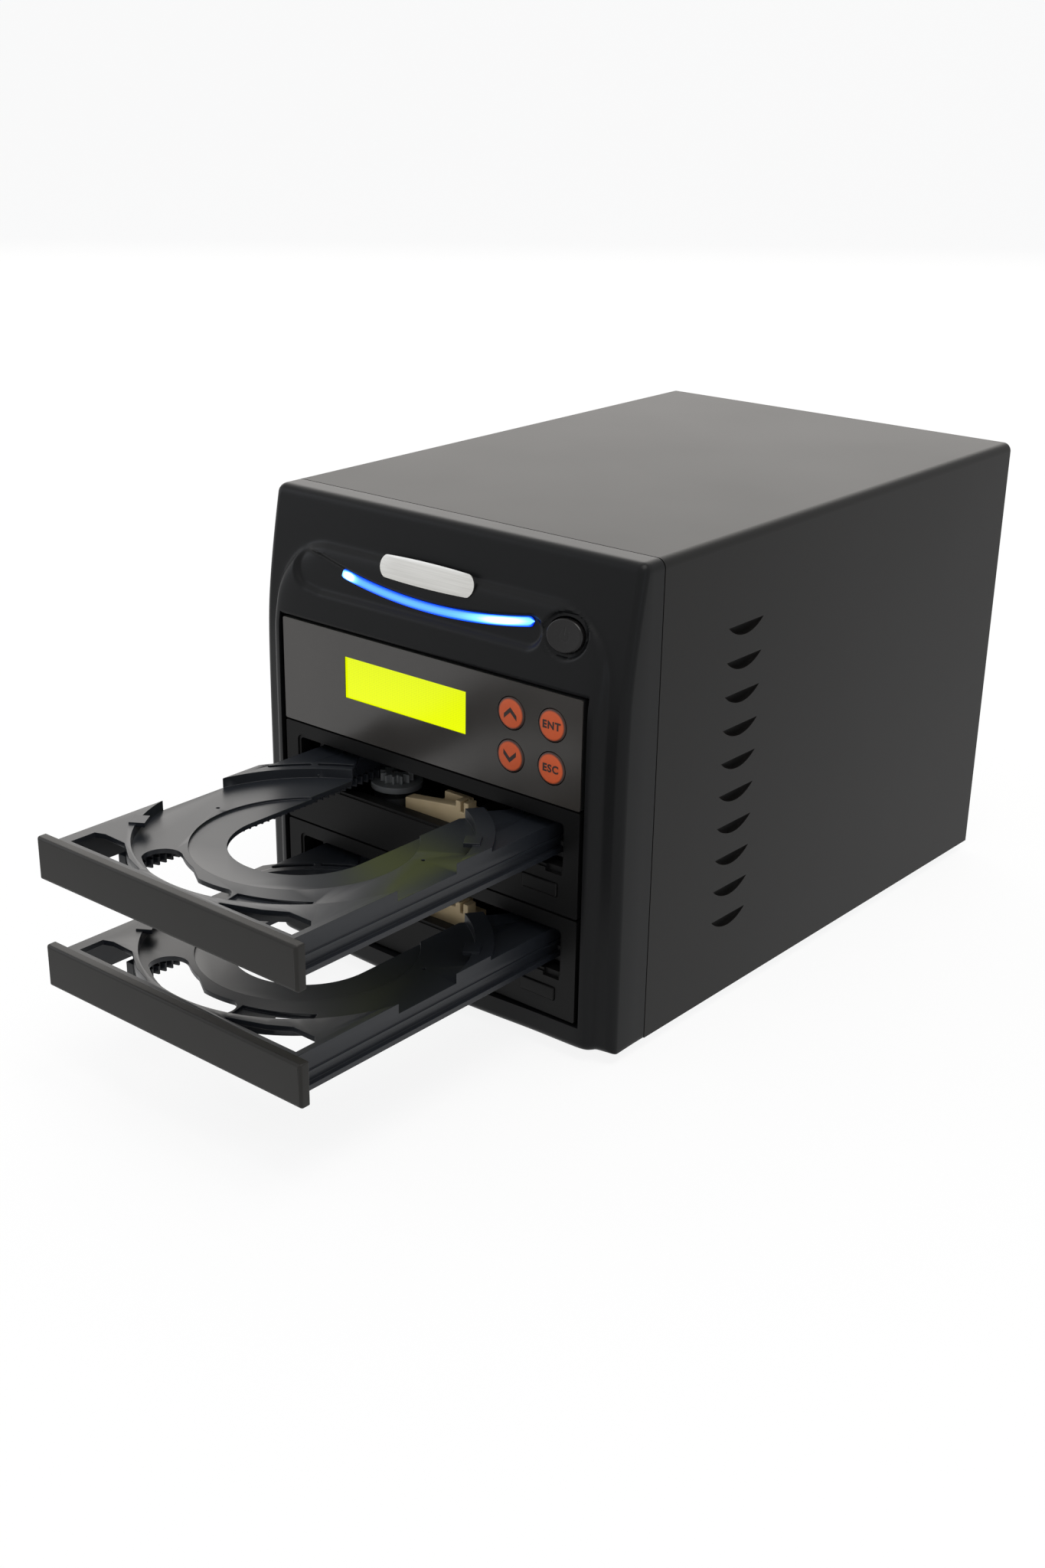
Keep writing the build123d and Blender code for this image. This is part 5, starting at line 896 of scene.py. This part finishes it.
    # Pan-head screws with a cross recess: a polar grid whose height dips inside the cross
    parts = []
    r = np.array([0.0, 0.3, 0.55, 0.8, 1.1, 1.4, 1.7, 2.1, 2.5, 2.8, 3.0, 3.15, 3.2])[:, None]
    a = np.linspace(0, 2 * math.pi, 32, endpoint=False)[None, :]
    u, w = r * np.cos(a), r * np.sin(a)
    arm = np.minimum(np.abs(u), np.abs(w))
    cross = step((0.75 - arm) / 0.3) * step((2.0 - r) / 0.4)
    psu_low, psu_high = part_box("psu_case")
    places = [(sx * FAN_SCREW, fan_z + sz * FAN_SCREW, 2.3) for sx in (-1, 1) for sz in (-1, 1)]
    supply_rows = (psu_low.z * 1000 + 5.5, psu_high.z * 1000 - 5.5)
    places += [(sx * 58.0, z, 1.75) for sx in (-1, 1) for z in supply_rows]
    places += [(sx * (HALF_W - 8), z, 1.75) for sx in (-1, 1) for z in (FLOOR_Z + 36, FLOOR_Z + 100)]
    for x, z, proud in places:
        height = proud - 0.9 * (1 - np.sqrt(np.clip(1 - (r / 3.3) ** 2, 0, 1))) - 0.8 * cross
        head = np.stack([x + u, back + height, z + w], -1)
        seat = back + (GRILLE_EYE if proud > 2 else 0.0)
        foot = np.stack([x + u[-1:], seat + 0 * a, z + w[-1:]], -1)
        shank = [np.stack([x + k * u[-1:] / 3.2, y + 0 * a, z + k * w[-1:] / 3.2], -1)
                 for k, y in ((1.7, seat), (1.7, panel - 4.0), (0.0, panel - 4.0))]
        pts = np.concatenate([head, foot] + shank)
        parts.append((mm(pts.reshape(-1, 3)), grid_faces(len(pts), 32, wrap=True)))
    verts, faces = joined(parts)
    screws = add_piece("pan_head_screws", verts, faces, "tower", zinc)
    outwards(screws)
    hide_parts("case_screws")
    softened("feet", 0.8, rubber, segments=3)
    softened("power_inlet", 0.35, black, angle=35.0)
    gloss = plain("rocker_gloss", "#111111", "#181818", 0.25, cell=6.0)
    softened("power_rocker", 0.4, gloss)
    dress("exhaust_fan_frame", black)


def build_case(p):
    """Case, film, display and the sheet and board pieces inside."""
    coat = powder_coated_steel(p)
    steel = plain("zinc_plated_sheet", "#7d8083", "#94979a", 0.40, 1.0, cell=14.0, fine=0.8, depth=0.004)
    board = plain("solder_masked_board", "#123a20", "#17472a", 0.42, cell=5.0, fine=0.6, depth=0.02)
    black = plain("inner_abs", "#131414", "#191a1a", 0.50, cell=10.0)
    red = plain("red_data_sleeve", "#8c1a16", "#a3221c", 0.50, cell=6.0)
    sleeve = plain("dark_braid", "#131313", "#1d1d1d", 0.65, cell=1.5, fine=0.6, depth=0.05)
    dress("case_cover", coat)
    dress("rear_panel", coat)
    for node in ("chassis_pan", "front_frame", "drive_cage", "psu_case", "display_module",
                 "upper_drive_housing", "lower_drive_housing", "upper_loading_motor", "lower_loading_motor"):
        dress(node, steel)
    for node in ("lamp_board", "key_board", "controller_board"):
        dress(node, board)
    for node in ("power_switch", "panel_plate"):
        dress(node, black)
    dress("panel_film", printed_film(p))
    dress("display_glass", lit_display(p))
    dress("upper_data_cable", red)
    dress("lower_data_cable", red)
    dress("power_harness", sleeve)


# ---------------------------------------------------------------------------- stage
def background_rays(tree):
    """1 for rays that show the background, straight or in gloss and glass, and 0 for those that light."""
    path = tree.nodes.new("ShaderNodeLightPath")
    straight = put(tree, "ShaderNodeMath", {"operation": "ADD"},
                   {0: path.outputs["Is Camera Ray"], 1: path.outputs["Is Glossy Ray"]})
    through = put(tree, "ShaderNodeMath", {"operation": "ADD", "use_clamp": True},
                  {0: straight.outputs["Value"], 1: path.outputs["Is Transmission Ray"]})
    return through.outputs["Value"]


def build_stage(p):
    """Pale floor and backdrop, soft lights and the camera."""
    scene = bpy.context.scene
    scene.view_settings.view_transform = "Standard"
    # Studio paper: white to the camera and in reflections, with 12 % of it lit, so that it keeps the shadow
    material, tree, shader, coords = new_material("studio_paper")
    shade(shader, "#f4f4f3", 0.9)
    fibres = put(tree, "ShaderNodeTexNoise", {"Scale": 900.0, "Detail": 2.0}, {"Vector": coords})
    paper = blend_colours(tree, fibres.outputs["Fac"], "#efefee", "#f8f8f7")
    tree.links.new(paper, shader.inputs["Base Color"])
    white = put(tree, "ShaderNodeEmission", {"Strength": 1.0})
    white.inputs["Color"].default_value = (1.0, 1.0, 1.0, 1.0)
    share = put(tree, "ShaderNodeMath", {"operation": "MULTIPLY", 1: 0.88}, {0: background_rays(tree)})
    seen = put(tree, "ShaderNodeMixShader", None,
               {0: share.outputs["Value"], 1: shader.outputs["BSDF"], 2: white.outputs["Emission"]})
    tree.links.new(seen.outputs["Shader"], tree.nodes["Material Output"].inputs["Surface"])
    t = np.linspace(0, 1, 40)
    bend = 1.2
    ang = np.clip(t * 1.2 - 0.1, 0, 1) * math.pi / 2
    y = 3.0 + bend * np.sin(ang)
    z = bend * (1 - np.cos(ang))
    y = np.concatenate([[-4.0, 0.0], y, [3.0 + bend]])
    z = np.concatenate([[0.0, 0.0], z, [5.0]])
    x = np.linspace(-6, 6, 8)
    pts = np.stack(np.broadcast_arrays(x[None, :], y[:, None], z[:, None]), -1)
    mesh = bpy.data.meshes.new("studio_paper")
    mesh.from_pydata(pts.reshape(-1, 3).tolist(), [], grid_faces(len(y), 8))
    mesh.shade_smooth()
    mesh.materials.append(material)
    floor = bpy.data.objects.new("studio_floor", mesh)
    scene.collection.objects.link(floor)

    world = bpy.data.worlds.new("studio")
    scene.world = world
    world.use_nodes = True
    wt = world.node_tree
    room = wt.nodes["Background"]
    room.inputs["Color"].default_value = linear("#eceef2")
    room.inputs["Strength"].default_value = p.world_level
    white = put(wt, "ShaderNodeBackground", {"Strength": 1.0})
    white.inputs["Color"].default_value = (1.0, 1.0, 1.0, 1.0)
    seen = put(wt, "ShaderNodeMixShader", None,
               {0: background_rays(wt), 1: room.outputs["Background"], 2: white.outputs["Background"]})
    wt.links.new(seen.outputs["Shader"], wt.nodes["World Output"].inputs["Surface"])

    def area(name, place, target, size_x, size_y, power, colour):
        light = bpy.data.lights.new(name, "AREA")
        light.shape = "RECTANGLE"
        light.size, light.size_y = size_x, size_y
        light.energy = power
        light.color = linear(colour)[:3]
        obj = bpy.data.objects.new(name, light)
        obj.location = place
        obj.rotation_euler = (Vector(target) - Vector(place)).to_track_quat("-Z", "Y").to_euler()
        scene.collection.objects.link(obj)

    area("back_softbox", (-1.25, 1.55, 1.05), (0.0, 0.05, 0.19), 2.8, 1.7, p.back_light, "#fffaf4")
    area("overhead_softbox", (0.35, -0.1, 1.7), (0.1, 0.0, 0.1), 1.0, 1.0, p.top_light, "#fffdfa")
    area("left_softbox", (-1.3, -0.8, 0.7), (0.0, -0.05, 0.1), 0.5, 0.9, p.left_light, "#eef3ff")
    area("right_softbox", (1.5, -0.7, 0.35), (0.1, -0.05, 0.1), 0.3, 0.9, p.right_light, "#e6eeff")

    # Camera: solved from the photograph's corners with the real sizes of the drives
    camera = bpy.data.cameras.new("photo_camera")
    wide, high, focal, centre_x, centre_y = 1365, 2048, 2558.4, 623.9, 1099.9    # photograph's pixels
    camera.sensor_width = 36.0
    camera.lens = focal / high * camera.sensor_width
    camera.sensor_fit = "AUTO"
    camera.shift_x = (wide / 2 - centre_x) / high
    camera.shift_y = (centre_y - high / 2) / high
    camera.clip_start, camera.clip_end = 0.01, 50.0
    obj = bpy.data.objects.new("photo_camera", camera)
    az, el, roll = (math.radians(v) for v in (40.763, 23.542, 0.441))
    back = Vector((math.sin(az) * math.cos(el), -math.cos(az) * math.cos(el), math.sin(el)))
    right = (-back).cross(Vector((0, 0, 1))).normalized()
    up = right.cross(-back)
    r2 = right * math.cos(roll) + up * math.sin(roll)
    u2 = -right * math.sin(roll) + up * math.cos(roll)
    turn = Matrix((r2, u2, back)).transposed().to_4x4()
    obj.matrix_world = Matrix.Translation((0.4628, FACE_Y - 0.5058, 0.3648)) @ turn
    scene.collection.objects.link(obj)
    scene.camera = obj


# ---------------------------------------------------------------------- the add-on
class DUPLICATOR_PG_settings(bpy.types.PropertyGroup):
    """Colours and light levels that a user would change."""

    case_colour: bpy.props.StringProperty(
        name="Case colour", description="Powder coat of the steel cover", default="#0f0e0d")
    bezel_colour: bpy.props.StringProperty(
        name="Bezel colour", description="Moulded front", default="#0d0d0e")
    tray_colour: bpy.props.StringProperty(
        name="Tray colour", description="Disc trays", default="#16181c")
    film_colour: bpy.props.StringProperty(
        name="Film colour", description="Printed film of the control panel", default="#2b2825")
    key_colour: bpy.props.StringProperty(
        name="Key colour", description="Silicone keys", default="#c8562a")
    display_colour: bpy.props.StringProperty(
        name="Display colour", description="Lit character display", default="#eeff00")
    world_level: bpy.props.FloatProperty(
        name="Ambient level", description="Strength of the room's light", default=0.75, min=0.0)
    back_light: bpy.props.FloatProperty(
        name="Back light", description="Large softbox behind", default=21.0, min=0.0, unit="POWER")
    top_light: bpy.props.FloatProperty(
        name="Overhead light", description="Softbox overhead", default=14.0, min=0.0, unit="POWER")
    left_light: bpy.props.FloatProperty(
        name="Left light", description="Softbox on the left", default=2.5, min=0.0, unit="POWER")
    right_light: bpy.props.FloatProperty(
        name="Right light", description="Softbox on the right", default=1.2, min=0.0, unit="POWER")


class PieceOperator:
    """What all the building operators share."""

    bl_options = {"REGISTER", "UNDO"}
    build = None

    def execute(self, context):
        type(self).build(context.scene.duplicator)
        return {"FINISHED"}


class DUPLICATOR_OT_stage(PieceOperator, bpy.types.Operator):
    """Adds the floor, lights and camera"""

    bl_idname = "duplicator.stage"
    bl_label = "Stage"
    build = staticmethod(build_stage)


class DUPLICATOR_OT_case(PieceOperator, bpy.types.Operator):
    """Dresses the case, the film, the display and the inner sheet pieces"""

    bl_idname = "duplicator.case"
    bl_label = "Case"
    build = staticmethod(build_case)


class DUPLICATOR_OT_bezel(PieceOperator, bpy.types.Operator):
    """Builds the moulded front"""

    bl_idname = "duplicator.bezel"
    bl_label = "Bezel"
    build = staticmethod(build_bezel)


class DUPLICATOR_OT_light_bar(PieceOperator, bpy.types.Operator):
    """Builds the curved light bar"""

    bl_idname = "duplicator.light_bar"
    bl_label = "Light bar"
    build = staticmethod(build_light_bar)


class DUPLICATOR_OT_power_button(PieceOperator, bpy.types.Operator):
    """Builds the oval power button"""

    bl_idname = "duplicator.power_button"
    bl_label = "Power button"
    build = staticmethod(build_power_button)


class DUPLICATOR_OT_badge(PieceOperator, bpy.types.Operator):
    """Builds the plain badge plate"""

    bl_idname = "duplicator.badge"
    bl_label = "Badge"
    build = staticmethod(build_badge)


class DUPLICATOR_OT_keys(PieceOperator, bpy.types.Operator):
    """Builds the four keys and their legends"""

    bl_idname = "duplicator.keys"
    bl_label = "Keys"
    build = staticmethod(build_keys)


class DUPLICATOR_OT_drives(PieceOperator, bpy.types.Operator):
    """Builds the trays and what shows of the drives"""

    bl_idname = "duplicator.drives"
    bl_label = "Drives and trays"
    build = staticmethod(build_trays)


class DUPLICATOR_OT_rear(PieceOperator, bpy.types.Operator):
    """Builds the grille, fans, inlet, rocker, screws and feet"""

    bl_idname = "duplicator.rear"
    bl_label = "Rear pieces and feet"
    build = staticmethod(build_rear)


OPERATORS = (
    DUPLICATOR_OT_stage,
    DUPLICATOR_OT_case,
    DUPLICATOR_OT_bezel,
    DUPLICATOR_OT_light_bar,
    DUPLICATOR_OT_power_button,
    DUPLICATOR_OT_badge,
    DUPLICATOR_OT_keys,
    DUPLICATOR_OT_drives,
    DUPLICATOR_OT_rear,
)


class DUPLICATOR_PT_panel(bpy.types.Panel):
    """Lists the settings and the building steps"""

    bl_idname = "DUPLICATOR_PT_panel"
    bl_label = "Duplicator tower"
    bl_space_type = "VIEW_3D"
    bl_region_type = "UI"
    bl_category = "Duplicator"

    def draw(self, context):
        settings = context.scene.duplicator
        for name in DUPLICATOR_PG_settings.__annotations__:
            self.layout.prop(settings, name)
        for operator in OPERATORS:
            self.layout.operator(operator.bl_idname)


CLASSES = (DUPLICATOR_PG_settings, DUPLICATOR_PT_panel) + OPERATORS


def register():
    for cls in CLASSES:
        bpy.utils.register_class(cls)
    bpy.types.Scene.duplicator = bpy.props.PointerProperty(type=DUPLICATOR_PG_settings)


def unregister():
    del bpy.types.Scene.duplicator
    for cls in reversed(CLASSES):
        bpy.utils.unregister_class(cls)


def main():
    register()
    for operator in OPERATORS:
        group, name = operator.bl_idname.split(".")
        getattr(getattr(bpy.ops, group), name)()


if __name__ == "__main__":
    main()
